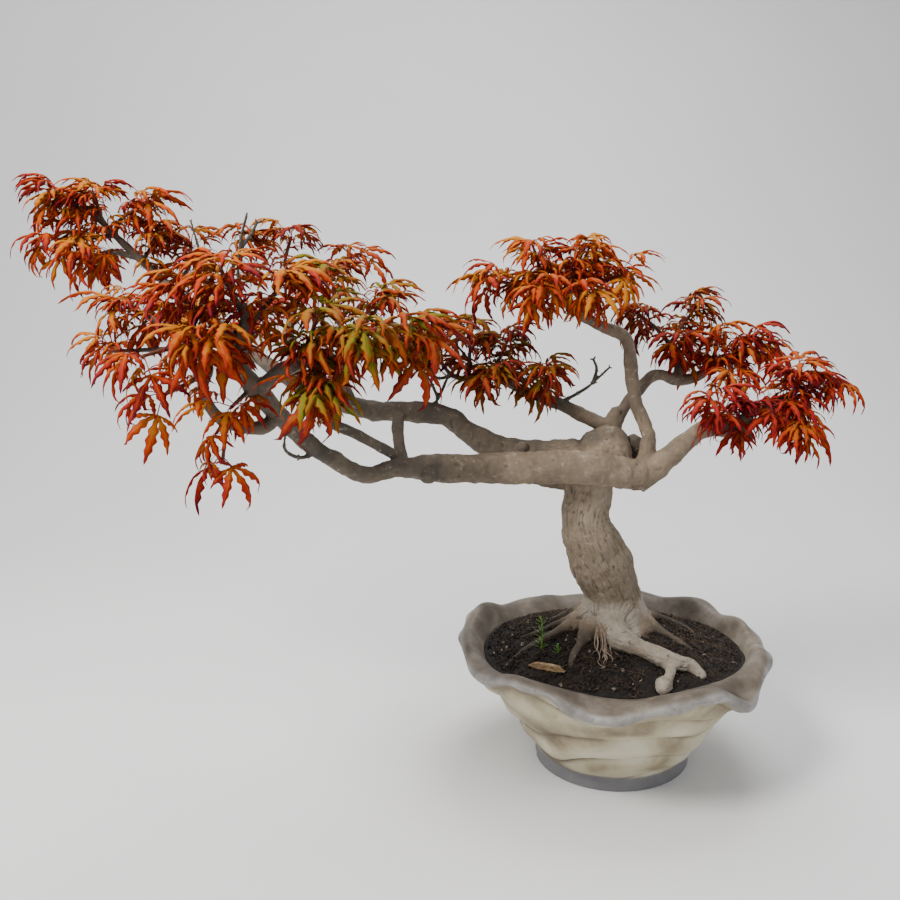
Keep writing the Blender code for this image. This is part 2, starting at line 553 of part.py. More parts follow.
def make_soil():
    earth = material("potting_soil", (0.035, 0.025, 0.018), 0.95)
    profiles = []
    for i in range(BOWL_SEGMENTS):
        turn = 2 * math.pi * i / BOWL_SEGMENTS
        wall = [(r - GAP, z + GAP) for r, z in inner_profile(turn)]
        edge_r = wall[-1][0]
        top = [
            (r, soil_height(r * math.cos(turn), r * math.sin(turn)))
            for r in (edge_r * 0.82, edge_r * 0.58, MOUND_RADIUS)
        ]
        profiles.append(wall + top)
    soil = turned_solid("soil", profiles, earth, slant=1)
    for side, x in (("left", -DRAIN_OFFSET), ("right", DRAIN_OFFSET)):
        half = SCREEN_SIDE / 2 + GAP
        top = FLOOR_TOP + SCREEN_THICKNESS + 2 * GAP
        room = box("screen_room_" + side, (x - half, -half, -0.01), (x + half, half, top))
        cut(soil, room)
    room = 1.25 * GAP
    ground = [tube("root_hole", lengthened(trunk_rows()[:5]), TRUNK_SIDES, grow=room)]
    for i, rows in enumerate(root_rows()):
        ground.append(tube(f"root_hole_{i}", lengthened(rows), ROOT_SIDES, grow=room))
    cut(soil, fuse(ground))
    cut(soil, tube("weed_hole", lengthened(weed_rows()[:2]), TWIG_SIDES, grow=2 * room))
    cut(soil, tube("chip_bed", lengthened(chip_rows()), TWIG_SIDES, grow=2 * room))
    return soil


# The tree

def limb_rows():
    return {name: smooth_route(route, 0.028) for name, route in LIMBS.items()}


def spray_twig(base, heading, limbs):
    """A twig from the nearest limb to the place where a spray's shoot starts, arriving along its heading."""
    target = np.array(base)
    ahead = np.array(Vector(heading).normalized())
    near = target - 0.030 * ahead
    rows = np.vstack([route[1:] for route in limbs.values()])
    start = rows[np.argmin(np.linalg.norm(rows[:, :3] - near, axis=1))]
    length = float(np.linalg.norm(target - start[:3]))
    bend = target - 0.38 * length * ahead
    parts = max(2, round(length / 0.030))
    root_radius = min(TWIG_RADII[0] * (0.7 + length / 0.11), start[3] * 0.85)
    out = []
    for t in np.arange(parts + 1) / parts:
        place = (1 - t) ** 2 * start[:3] + 2 * t * (1 - t) * bend + t**2 * target
        out.append((*place, root_radius + (TWIG_RADII[1] - root_radius) * t))
    return out


def make_wood():
    bark = material("maple_bark", (0.33, 0.27, 0.21), 0.8)
    limbs = limb_rows()
    solids = [tube("wood", trunk_rows(), TRUNK_SIDES, finish=bark)]
    for name, rows in limbs.items():
        solids.append(tube(name, rows, 7 if rows[0][3] > 0.009 else 5, lumps=0.04))
    for i, (start, end, radius) in enumerate(CUT_SCARS):
        solids.append(tube(f"scar_{i}", ((*start, radius), (*end, radius * 0.8)), 7, lumps=0.08))
    for i, rows in enumerate(root_rows()):
        solids.append(tube(f"root_{i}", rows, ROOT_SIDES))
    for i, route in enumerate(BARE_TWIGS):
        radii = np.linspace(0.0020, 0.0013, len(route))
        solids.append(tube(f"bare_twig_{i}", [(*p, r) for p, r in zip(route, radii)], TWIG_SIDES))
    for part, (tone, sprays) in SPRAYS.items():
        for k, (base, heading, *_) in enumerate(sprays, 1):
            rows = spray_twig(base, heading, limbs)
            solids.append(tube(f"twig_{part}_{k}", rows, TWIG_SIDES, ending=Vector(heading).normalized()))
    return fuse(solids)


# Leaves

def lobe_point(leaf, angle, length, rise, droop, t):
    """(point, outward, up) at a share t of one lobe, which rises a little and then bends down."""
    outward = math.cos(angle) * leaf["forward"] + math.sin(angle) * leaf["side"]
    point = leaf["hub"].copy()
    steps = max(1, round(LOBE_STEPS * t))
    for k in range(steps):
        bend = rise + (droop - rise) * ((k + 0.5) / steps * t) ** LOBE_BEND_POWER
        point += (length * t / steps) * (math.cos(bend) * outward - math.sin(bend) * leaf["up"])
    bend = rise + (droop - rise) * t**LOBE_BEND_POWER
    up = math.cos(bend) * leaf["up"] + math.sin(bend) * outward
    return point, outward, up


def leaf_solid(leaf, grow=0.0):
    """Five lobes with raised ribs round a hub, the outer two as plain spikes, and the petiole behind them.

    The whole leaf is one thin closed blade.
    """
    hub, forward, side, up, size = (leaf[key] for key in ("hub", "forward", "side", "up", "size"))
    rib = LEAF_RIB + grow
    angles = [math.radians(a) for a in LOBE_ANGLES]
    gaps = [(a + b) / 2 for a, b in zip(angles, angles[1:])]
    gaps = [angles[0] - HEEL_ANGLE, *gaps, angles[-1] + HEEL_ANGLE]
    points = [hub + rib * up]
    for k, turn in enumerate(gaps):
        reach = size * (HEEL_SHARE if k in (0, len(gaps) - 1) else NOTCH_SHARE) + grow
        points.append(hub + reach * (math.cos(turn) * forward + math.sin(turn) * side) - grow * up)
    first, last, heel, pit = 1, 6, 7, 8
    points.append(hub - (size * HEEL_SHARE * 0.7 + grow) * forward + 0.8 * rib * up)
    points.append(hub - (PIT_DEPTH + grow) * up)
    faces = [(pit, k + 1, k) for k in range(2, 5)]
    faces += [(pit, first, last), (0, last, heel), (0, heel, first)]
    for k, (angle, length, rise, droop) in enumerate(leaf["lobes"]):
        a, b = 1 + k, 2 + k
        tip = lobe_point(leaf, angle, length, rise, droop, 1.0)[0]
        if k in (0, len(LOBE_ANGLES) - 1):
            end = len(points)
            points.append(tip)
            faces += [(0, a, b), (b, a, end), (end, a, pit), (b, end, pit)]
            continue
        middle, outward, lift = lobe_point(leaf, angle, length, rise, droop, WIDEST_AT)
        across = lift.cross(outward).normalized()
        half = length * LOBE_WIDTH / 2 + grow
        margin = middle - (MARGIN_DROP + grow) * lift
        right = len(points)
        left, ridge, end = right + 1, right + 2, right + 3
        points += [margin - half * across, margin + half * across, middle + rib * lift, tip]
        faces += [
            (0, a, ridge), (a, right, ridge), (right, end, ridge), (end, left, ridge), (left, b, ridge),
            (b, 0, ridge), (b, right, a), (b, left, right), (left, end, right),
        ]
    backward = (leaf["root"] - hub).normalized()
    across = backward.cross(up).normalized()
    lift = across.cross(backward).normalized()
    thick = PETIOLE_RADIUS + grow
    one = len(points)
    two, three = one + 1, one + 2
    ends = [leaf["root"] - across * thick, leaf["root"] + across * thick]
    if (points[first] - ends[0]).length > (points[first] - ends[1]).length:
        ends.reverse()
    points += [*ends, leaf["root"] + lift * thick]
    faces += [
        (first, heel, three), (first, three, one), (heel, last, two), (heel, two, three),
        (last, first, one), (last, one, two), (one, three, two),
    ]
    return points, faces


def grow_leaf(base, ahead, share, pair_turn, side_sign, size, draw, attempt):
    """One leaf of a pair: where its petiole leaves the shoot, its hub and the set of its lobes."""
    loose = 0.18 + 0.05 * attempt
    level = Vector((0, 0, 1)).cross(ahead)
    if level.length < 0.2:
        level = Vector((1, 0.3, 0)).cross(ahead)
    level.normalize()
    other = ahead.cross(level)
    turn = pair_turn + draw.uniform(-loose, loose) * 1.6
    sideways = side_sign * (math.cos(turn) * level + math.sin(turn) * other)
    way = 0.75 * ahead + 0.8 * sideways + Vector((0, 0, 0.25))
    way += loose * Vector([draw.uniform(-1, 1) for _ in range(3)])
    way.normalize()
    root = base + ahead * SHOOT_LENGTH * share
    hub = root + way * draw.uniform(0.007, 0.015 + 0.0006 * attempt)
    heading = Vector((way.x, way.y, 0))
    if heading.length < 0.25:
        heading += Vector((ahead.x, ahead.y, 0)) + 0.4 * Vector((sideways.x, sideways.y, 0))
    heading.normalize()
    pitch = math.asin(max(-1, min(1, way.z))) - draw.uniform(0.15, 0.6)
    pitch = max(-0.7, min(0.35, pitch))
    forward = (math.cos(pitch) * heading + math.sin(pitch) * Vector((0, 0, 1))).normalized()
    up = Vector((0, 0, 1)) + 0.35 * Vector([draw.uniform(-1, 1) for _ in range(3)])
    up = (up - forward * up.dot(forward)).normalized()
    size *= draw.uniform(0.86, 1.1) * (1 - 0.006 * attempt)
    lobes = []
    for angle, part in zip(LOBE_ANGLES, LOBE_SHARES):
        lobes.append((
            math.radians(angle + draw.uniform(-6, 6)),
            size * part * draw.uniform(0.9, 1.08),
            math.radians(draw.uniform(-14, 0)),
            math.radians(draw.uniform(66, 108)),
        ))
    return {"root": root, "hub": hub, "forward": forward, "side": up.cross(forward), "up": up, "size": size,
            "lobes": lobes}


def crosses_itself(points, faces):
    shape = BVHTree.FromPolygons(points, faces)
    return any(a < b and not set(faces[a]) & set(faces[b]) for a, b in shape.overlap(shape))


class Crown:
    """Everything a new leaf has to keep clear of."""

    def __init__(self):
        self.solids = []

    def add(self, points, faces):
        middle = sum(points, Vector()) / len(points)
        reach = max((p - middle).length for p in points)
        self.solids.append((BVHTree.FromPolygons(points, faces), middle, reach))

    def clear(self, points, faces):
        middle = sum(points, Vector()) / len(points)
        reach = max((p - middle).length for p in points)
        shape = BVHTree.FromPolygons(points, faces)
        for other, centre, radius in self.solids:
            if (centre - middle).length < reach + radius and shape.overlap(other):
                return False
        return True


def mesh_of(item):
    item.data.calc_loop_triangles()
    return [v.co.copy() for v in item.data.vertices], [tuple(t.vertices) for t in item.data.loop_triangles]


def leaf_places(count):
    """(share along the shoot, turn of the pair, side) of each leaf: a last leaf if odd, then pairs."""
    places = [(1.0, 0.0, 0)] if count % 2 else []
    for pair in range(count // 2):
        share = 0.92 - 0.34 * pair
        for side in (-1, 1):
            places.append((share, math.pi / 2 * (pair % 2), side))
    return places


def make_sprays(wood):
    crown = Crown()
    crown.add(*mesh_of(wood))
    order = 0
    shoots = []
    for part, (tone, sprays) in SPRAYS.items():
        finish = material("leaf_" + part, TONES[tone], 0.5)
        for k, (start, heading, count, scale) in enumerate(sprays, 1):
            ahead = Vector(heading).normalized()
            base = Vector(start) + GAP * ahead
            end = base + ahead * SHOOT_LENGTH * SHOOT_OVERRUN
            rows = ((*base, SHOOT_RADII[0]), (*end, SHOOT_RADII[1]))
            shoot = tube(f"spray_{part}_{k}", rows, SHOOT_SIDES, finish=finish)
            crown.add(*mesh_of(shoot))
            shoots.append((shoot, base, ahead, count, scale, order))
            order += 1
    kept = 0
    for shoot, base, ahead, count, scale, order in shoots:
        solids = [shoot]
        blades, petioles, others = Crown(), Crown(), Crown()
        others.solids = [entry for i, entry in enumerate(crown.solids) if i != 1 + order]
        for j, (share, turn, side) in enumerate(leaf_places(count)):
            for attempt in range(MOST_TRIES):
                draw = random.Random(SEED * 1000003 + order * 1009 + j * 101 + attempt)
                leaf = grow_leaf(base, ahead, share, turn, side, LEAF_SIZE * scale, draw, attempt)
                if crosses_itself(*leaf_solid(leaf)):
                    continue
                points, faces = leaf_solid(leaf, CLEARANCE)
                blade = faces[:BLADE_FACES]
                clear_outside = others.clear(points, faces)
                if clear_outside and blades.clear(points, faces) and petioles.clear(points, blade):
                    break
            else:
                print("no clear place for leaf", j, "of", shoot.name)
                continue
            points, faces = leaf_solid(leaf)
            solids.append(solid(f"{shoot.name}_leaf_{j}", points, faces))
            blades.add(points, faces[:BLADE_FACES])
            petioles.add(points, faces[BLADE_FACES:])
            crown.add(points, faces)
            kept += 1
        fuse(solids)
    print("leaves", kept)


def make_weed():
    green = material("weed_green", (0.16, 0.30, 0.04), 0.5)
    rows = weed_rows()
    solids = [tube("weed_sprout", rows, TWIG_SIDES, finish=green)]
    for k in range(WEED_LEAVES):
        turn = 2.4 * k
        out = Vector((math.cos(turn), math.sin(turn), 0.9)).normalized()
        across = out.cross(Vector((0, 0, 1))).normalized()
        lift = across.cross(out).normalized() * 0.0006
        root = Vector(rows[1][:3]) + Vector((0, 0, 0.004 * k - 0.003))
        length = 0.010 - 0.0004 * k
        middle = root + out * length * 0.45
        points = [
            root - out * 0.001, middle + across * 0.0013, middle - across * 0.0013, root + out * length,
            middle + lift, middle - lift,
        ]
        faces = [(0, 1, 4), (0, 4, 2), (3, 4, 1), (3, 2, 4), (0, 5, 1), (0, 2, 5), (3, 1, 5), (3, 5, 2)]
        solids.append(solid(f"weed_leaf_{k}", points, faces))
    fuse(solids)


def make_chip():
    straw = material("bark_chip", (0.45, 0.33, 0.18), 0.85)
    tube("bark_chip", chip_rows(), TWIG_SIDES, finish=straw)


clear_scene()
make_bowl()
make_screens()
make_soil()
wood = make_wood()
make_sprays(wood)
make_weed()
make_chip()
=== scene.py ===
# %% [markdown]
# A lion's-head maple, grown as a bonsai in a hand-built clay bowl. The frame is a plain solid model at
# true size. This lesson dresses it: bark that follows the limbs, leaves with cut and drooping lobes,
# a ruffled glazed bowl, and loose potting mix. One could paint detail on the plain solids, but
# leaves and clay show their edges against the light, so each surface here is a mesh of its own that
# keeps the form of the solid it stands for.

# %% Load the frame and keep its box
import json
import math
import random

import bpy
import numpy as np
from mathutils import Matrix, Vector
from mathutils.kdtree import KDTree

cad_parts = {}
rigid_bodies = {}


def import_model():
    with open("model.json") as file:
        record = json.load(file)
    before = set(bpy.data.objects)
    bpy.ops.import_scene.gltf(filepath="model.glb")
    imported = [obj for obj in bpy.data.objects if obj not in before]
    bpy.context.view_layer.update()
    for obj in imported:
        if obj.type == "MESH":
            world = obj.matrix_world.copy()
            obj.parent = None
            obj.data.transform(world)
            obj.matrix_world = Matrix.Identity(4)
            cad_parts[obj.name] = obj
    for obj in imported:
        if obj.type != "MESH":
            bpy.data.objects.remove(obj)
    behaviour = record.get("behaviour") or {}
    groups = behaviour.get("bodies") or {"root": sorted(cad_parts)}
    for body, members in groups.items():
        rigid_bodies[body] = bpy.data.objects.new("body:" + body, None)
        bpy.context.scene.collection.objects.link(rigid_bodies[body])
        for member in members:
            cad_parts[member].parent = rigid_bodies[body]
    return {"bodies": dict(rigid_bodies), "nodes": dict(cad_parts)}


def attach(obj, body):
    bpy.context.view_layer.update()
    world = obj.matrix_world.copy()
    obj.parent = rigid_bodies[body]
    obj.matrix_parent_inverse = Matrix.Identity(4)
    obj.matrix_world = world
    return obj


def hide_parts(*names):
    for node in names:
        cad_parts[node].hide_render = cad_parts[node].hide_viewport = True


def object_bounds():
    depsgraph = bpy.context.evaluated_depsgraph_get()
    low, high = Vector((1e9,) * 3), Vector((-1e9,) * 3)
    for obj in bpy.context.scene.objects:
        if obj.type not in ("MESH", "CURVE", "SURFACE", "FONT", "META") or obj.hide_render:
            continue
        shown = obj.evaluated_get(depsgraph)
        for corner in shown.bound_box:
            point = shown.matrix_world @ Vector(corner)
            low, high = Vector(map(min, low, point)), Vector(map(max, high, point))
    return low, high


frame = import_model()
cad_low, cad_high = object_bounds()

BODY = next(iter(frame["bodies"]))
print("nodes", len(frame["nodes"]), "box", [round(v, 3) for v in (*cad_low, *cad_high)])

# %% [markdown]
# The camera comes first, so that every later look at the scene is from the photograph's own place.
# It could be placed by eye. Here its height, distance and tilt come from matching the bowl's oval
# and the tips of the crown, which leaves no guessing later.

# %% Camera at the photograph's angle
LENS = 40.0
CAMERA_AT = (-0.155, -0.91, 0.515)
LOOKS_DOWN = math.radians(12.64)
ROLL = math.radians(-1.11)

camera = bpy.data.objects.new("camera", bpy.data.cameras.new("camera"))
camera.data.lens = LENS
camera.data.sensor_width = 36.0
camera.data.clip_start = 0.02
turn = Matrix.Rotation(math.pi / 2 - LOOKS_DOWN, 4, "X") @ Matrix.Rotation(ROLL, 4, "Z")
camera.matrix_world = Matrix.Translation(CAMERA_AT) @ turn
bpy.context.scene.collection.objects.link(camera)
bpy.context.scene.camera = camera
print("camera", CAMERA_AT)

# %% [markdown]
# Materials and Geometry Nodes are both graphs of nodes. Written out node by node they are long and
# hard to read. One small class wraps a socket, so that sums on sockets read like sums.

# %% Wires


class Wire:
    """An output socket that Python's own operators can work on."""

    def __init__(self, graph, socket):
        self.graph = graph
        self.socket = socket

    def __add__(self, other):
        return self.graph.math("ADD", self, other)

    def __sub__(self, other):
        return self.graph.math("SUBTRACT", self, other)

    def __rsub__(self, other):
        return self.graph.math("SUBTRACT", other, self)

    def __mul__(self, other):
        return self.graph.math("MULTIPLY", self, other)

    __radd__ = __add__
    __rmul__ = __mul__

    def within(self, low, high):
        """0 below low, 1 above high, and smooth between them."""
        settings = {"interpolation_type": "SMOOTHSTEP"}
        return self.graph.node("ShaderNodeMapRange", settings, {0: self, 1: low, 2: high})

    def beside(self, name):
        """Another output of the same node."""
        return Wire(self.graph, self.socket.node.outputs[name])


print("sums on wires:", [name for name in vars(Wire) if name.endswith(("add__", "sub__", "mul__"))])

# %% [markdown]
# All other nodes are added by one method: its type, its settings and what goes into its sockets. What
# never changes is a plain value on the node's own socket, and only what varies comes in by a wire.

# %% Graphs


class Graph:
    """The nodes of one material or of one Geometry Nodes tree."""

    def __init__(self, tree):
        self.tree = tree

    def node(self, kind, settings=None, sockets=None, out=0):
        made = self.tree.nodes.new(kind)
        for name, value in (settings or {}).items():
            if name == "stops":
                self.set_stops(made.color_ramp, value)
            else:
                setattr(made, name, value)
        for key, value in (sockets or {}).items():
            self.feed(made.inputs[key], value)
        return Wire(self, made.outputs[out])

    def feed(self, socket, value):
        if isinstance(value, Wire):
            self.tree.links.new(value.socket, socket)
        elif socket.type == "RGBA":
            socket.default_value = (*value[:3], 1.0)
        else:
            socket.default_value = value

    def set_stops(self, ramp, stops):
        while len(ramp.elements) < len(stops):
            ramp.elements.new(0.5)
        for element, (place, colour) in zip(ramp.elements, stops):
            element.position = place
            element.color = (*colour, 1.0)

    def math(self, operation, *values):
        return self.node("ShaderNodeMath", {"operation": operation}, dict(enumerate(values)))


print("a graph can:", [name for name in vars(Graph) if not name.startswith("_")])

# %% [markdown]
# A finish is a graph that ends in the Principled shader. It could start from a copy of a finished
# material, but each surface here needs its own pattern, so the class only keeps what they share: the
# place on the object, noise, cells, ramps, mixes and bumps.

# %% Finishes


class Finish(Graph):
    """A material in the making, with its Principled shader."""

    def __init__(self, name):
        self.material = bpy.data.materials.new(name)
        self.material.use_nodes = True
        super().__init__(self.material.node_tree)
        self.shader = self.tree.nodes["Principled BSDF"]
        self.place = self.node("ShaderNodeTexCoord", out="Object")

    def dress(self, **sockets):
        """Values or wires for the Principled shader's sockets, with _ for a space in a name."""
        for name, value in sockets.items():
            self.feed(self.shader.inputs[name.replace("_", " ")], value)
        return self.material

    def stretched(self, scale):
        return self.node("ShaderNodeMapping", None, {"Vector": self.place, "Scale": scale})

    def noise(self, scale, detail=3.0, roughness=0.55, vector=None):
        sockets = {"Vector": vector or self.place, "Scale": scale, "Detail": detail, "Roughness": roughness}
        return self.node("ShaderNodeTexNoise", None, sockets)

    def cell_colours(self, scale):
        """Each cell of the pattern in one random colour."""
        return self.node("ShaderNodeTexVoronoi", None, {"Vector": self.place, "Scale": scale}, "Color")

    def stored(self, name):
        """A value that the mesh keeps at its corners."""
        return self.node("ShaderNodeAttribute", {"attribute_name": name}, None, "Fac")

    def colours(self, *stops, by):
        return self.node("ShaderNodeValToRGB", {"stops": stops}, {"Fac": by})

    def mixed(self, share, a, b):
        return self.node("ShaderNodeMix", {"data_type": "RGBA"}, {0: share, 6: a, 7: b}, 2)

    def bump(self, height, distance, strength=1.0, under=None):
        sockets = {"Height": height, "Distance": distance, "Strength": strength}
        if under:
            sockets["Normal"] = under
        return self.node("ShaderNodeBump", None, sockets)


print("a finish can:", [name for name in vars(Finish) if not name.startswith("_")])

# %% [markdown]
# Clay, bark and soil are never even. Their unevenness is a smooth random field: random values on the
# corners of a grid, blended between them. Blender's own noise can be called point by point, but a
# few lines of numpy work on a whole mesh at once.

# %% A smooth random field
# Large odd numbers scramble a place on the grid into a value that looks random
SCRAMBLE = (374761393, 668265263, 1440662683)
SCRAMBLE_SEED = 974711
SCRAMBLE_AGAIN = 1274126177
BITS_32 = 0xFFFFFFFF
BITS_16 = 0xFFFF


def corner_values(cell, seed):
    """A random value from -1 to 1 for each corner of the grid."""
    mixed = (cell.astype(np.int64) @ np.array(SCRAMBLE) + seed * SCRAMBLE_SEED) & BITS_32
    mixed = ((mixed ^ (mixed >> 13)) * SCRAMBLE_AGAIN) & BITS_32
    return ((mixed ^ (mixed >> 16)) & BITS_16) / (BITS_16 / 2) - 1.0


def field(points, seed=0):
    """A smooth random value from -1 to 1 for each point; the grid's cells are 1 wide."""
    points = np.asarray(points, float)
    cell = np.floor(points)
    t = points - cell
    t = t * t * (3 - 2 * t)
    total = np.zeros(len(points))
    for corner in np.ndindex(2, 2, 2):
        weight = np.prod(np.where(np.array(corner) == 1, t, 1 - t), axis=1)
        total += weight * corner_values(cell + corner, seed)
    return total


def layered(points, seed=0, layers=3):
    """The field with finer and weaker layers added."""
    total = sum(field(points * 2.0**k, seed + k) * 0.5**k for k in range(layers))
    return total / (2 - 0.5 ** (layers - 1))


print("field between two corners", field([[0.0, 0.0, 0.0], [0.5, 0.0, 0.0], [1.0, 0.0, 0.0]]).round(3))

# %% [markdown]
# Every piece is a mesh whose object stays at the origin, so that its place is in its points. Adding
# objects with Blender's operators would depend on what is selected, so the meshes are made directly.

# %% Mesh helpers
BOX_MARGIN = 1e-5


def piece(name, points, faces, finish, smooth=True):
    """A mesh object at the origin, with its place in its mesh."""
    mesh = bpy.data.meshes.new(name)
    mesh.from_pydata(np.asarray(points, float).tolist(), [], faces)
    mesh.update()
    if smooth:
        mesh.shade_smooth()
    if finish:
        mesh.materials.append(finish)
    made = bpy.data.objects.new(name, mesh)
    bpy.context.scene.collection.objects.link(made)
    return made


def store(made, name, values):
    """Keeps a value at each corner of the mesh, for the finish to read."""
    attribute = made.data.attributes.new(name, "FLOAT", "POINT")
    attribute.data.foreach_set("value", np.ravel(values))


def corners_of(mesh):
    points = np.empty(len(mesh.vertices) * 3, np.float32)
    mesh.vertices.foreach_get("co", points)
    return points.reshape(-1, 3).astype(float)


def normals_of(mesh):
    normals = np.empty(len(mesh.vertices) * 3, np.float32)
    mesh.vertices.foreach_get("normal", normals)
    return normals.reshape(-1, 3).astype(float)


def keep_in_box(points):
    """No point of a finished piece leaves the solid model's box."""
    return np.clip(points, np.array(cad_low) + BOX_MARGIN, np.array(cad_high) - BOX_MARGIN)


def place_points(made, points):
    made.data.vertices.foreach_set("co", keep_in_box(points).astype(np.float32).ravel())
    made.data.update()


def dressed(made, slot, *nodes):
    """The frame calls that every finished piece needs."""
    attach(made, BODY)
    if nodes:
        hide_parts(*nodes)
    made.data.calc_loop_triangles()
    print(made.name, len(made.data.loop_triangles), "triangles")
    return made


def baked(made):
    """The object's mesh as its modifiers leave it, with the modifiers gone."""
    graph = bpy.context.evaluated_depsgraph_get()
    made.data = bpy.data.meshes.new_from_object(made.evaluated_get(graph))
    made.modifiers.clear()
    return made


print("pieces stay between", keep_in_box([cad_low]).round(4), "and", keep_in_box([cad_high]).round(4))

# %% [markdown]
# The bowl was pinched by hand from thick clay, and its wall keeps the folds of the slab like draped
# cloth. A turned shape with noise would look machine-made. Instead the profile is worked out anew at
# each turn, with the lip's own rise and fall round the bowl, and the folds are pillows between
# creases that drift up and down as they go round.

# %% The bowl's own measures
FOOT_RADIUS = 0.075
FOOT_HEIGHT = 0.012
FLOOR_RADIUS = 0.062
FLOOR_TOP = 0.019
GAP = 0.0003
# The lip every 15 degrees from +X, and the soil's edge every 30, as in the solid model
LIP_HEIGHTS = (
    0.113, 0.119, 0.113, 0.119, 0.113, 0.116, 0.112, 0.112,
    0.115, 0.116, 0.128, 0.123, 0.120, 0.111, 0.118, 0.128,
    0.125, 0.110, 0.116, 0.124, 0.122, 0.104, 0.119, 0.119,
)
LIP_RADII = (
    0.145, 0.149, 0.148, 0.152, 0.150, 0.151, 0.149, 0.150,
    0.148, 0.149, 0.152, 0.151, 0.150, 0.148, 0.150, 0.151,
    0.149, 0.146, 0.147, 0.150, 0.149, 0.151, 0.149, 0.146,
)
EDGE_RADII = (0.126, 0.127, 0.124, 0.124, 0.124, 0.126, 0.126, 0.122, 0.116, 0.113, 0.117, 0.123)
EDGE_HEIGHTS = (0.105, 0.104, 0.102, 0.101, 0.104, 0.108, 0.107, 0.110, 0.115, 0.113, 0.116, 0.113)


def between(a, b, c, d, t):
    """The Catmull-Rom curve from b to c, at a share t of the way."""
    return 0.5 * (2 * b + (c - a) * t + (2 * a - 5 * b + 4 * c - d) * t**2 + (3 * b - a - 3 * c + d) * t**3)


def around(values, turns):
    """Smooth values in a ring, at turns in radians."""
    values = np.array(values)
    place = np.asarray(turns) / (2 * math.pi) % 1 * len(values)
    first = np.floor(place).astype(int)
    a, b, c, d = (values[(first + k) % len(values)] for k in (-1, 0, 1, 2))
    return between(a, b, c, d, place - first)


def bowl_profile(turns):
    """(turns, points, 2): radius and height from the foot, over the lip and down to the inner floor."""
    lip_r, lip_z = around(LIP_RADII, turns), around(LIP_HEIGHTS, turns)
    edge_r, edge_z = around(EDGE_RADII, turns), around(EDGE_HEIGHTS, turns)
    sway = 0.002 * np.sin(3 * turns + 0.6) + 0.0015 * np.sin(5 * turns)
    same = np.ones_like(turns)
    rows = (
        (FOOT_RADIUS * same, 0 * same), (FOOT_RADIUS * same, FOOT_HEIGHT * same),
        (0.081 + sway, 0.021 * same), (0.097 + sway, 0.042 * same), (0.112 + sway, 0.066 * same),
        (0.129 * same, 0.090 * same), (lip_r - 0.007, lip_z - 0.011), (lip_r, lip_z - 0.005),
        (lip_r - 0.003, lip_z), (lip_r - 0.012, lip_z + 0.001), (edge_r, edge_z),
        (edge_r - 0.006, edge_z - 0.014), (0.094 + sway, 0.055 * same), (0.074 + sway, 0.029 * same),
        (FLOOR_RADIUS * same, FLOOR_TOP * same),
    )
    return np.stack([np.stack(row, axis=1) for row in rows], axis=1)


print("profile points", bowl_profile(np.zeros(1)).shape[1])

# %% [markdown]
# The profile has only fifteen points, which is too coarse for folds. Subdivision would round the foot
# as well, so rings are added between the points by a curve, many on the body where the folds will
# be and few on the inside, and the flat foot and floor stay straight.

# %% The bowl's surface, ring by ring
BOWL_TURNS = 320
RINGS_BETWEEN = (3, 6, 14, 15, 15, 13, 7, 5, 7, 7, 5, 3, 3, 3)


def fine_profile(turns):
    """The profile with rings added between its points, and how far along it each ring is."""
    rough = bowl_profile(turns)
    first = 2 * rough[:, :1] - rough[:, 1:2]
    last = 2 * rough[:, -1:] - rough[:, -2:-1]
    padded = np.concatenate([first, rough, last], axis=1)
    rings, along = [rough[:, 0]], [0.0]
    for k, count in enumerate(RINGS_BETWEEN):
        a, b, c, d = (padded[:, k + i] for i in range(4))
        for t in np.arange(1, count + 1) / count:
            flat = k in (0, len(RINGS_BETWEEN) - 1)
            rings.append(b + (c - b) * t if flat else between(a, b, c, d, t))
            along.append(k + t)
    return np.stack(rings, axis=1), np.array(along)


def turned(rings, turns):
    """Points and faces of closed rings: the first and the last ring end in a disc."""
    count, deep = rings.shape[:2]
    x, y = rings[..., 0] * np.cos(turns)[:, None], rings[..., 0] * np.sin(turns)[:, None]
    points = np.stack([x, y, rings[..., 1]], axis=-1).reshape(-1, 3)
    faces = []
    for i in range(count):
        here, there = i * deep, (i + 1) % count * deep
        faces += [(here + k, there + k, there + k + 1, here + k + 1) for k in range(deep - 1)]
    faces.append(tuple(i * deep for i in reversed(range(count))))
    faces.append(tuple(i * deep + deep - 1 for i in range(count)))
    return points, faces


turns = 2 * math.pi * np.arange(BOWL_TURNS) / BOWL_TURNS
rings, along = fine_profile(turns)
points, faces = turned(rings, turns)
print("bowl rings", rings.shape[1])

# %% [markdown]
# The folds: where the phase is a whole number there is a sharp crease, and between two creases the
# clay bulges. The phase drifts with the turn, so that a fold climbs towards the lip on one side and
# dies out on the other. The lip gets finger dents, and a fine grain lies over everything.

# %% Folds, dents and grain
FOLD_DEPTH = 0.0064
SWELL_DEPTH = 0.0016
DENT_DEPTH = 0.0024
WAVE_DEPTH = 0.0019
WAVES_ROUND = 17
GRAIN_DEPTH = 0.00025
GRAINS_PER_METRE = 260
CREASE_SHARPNESS = 0.62
CREASE_LEVEL = 0.72

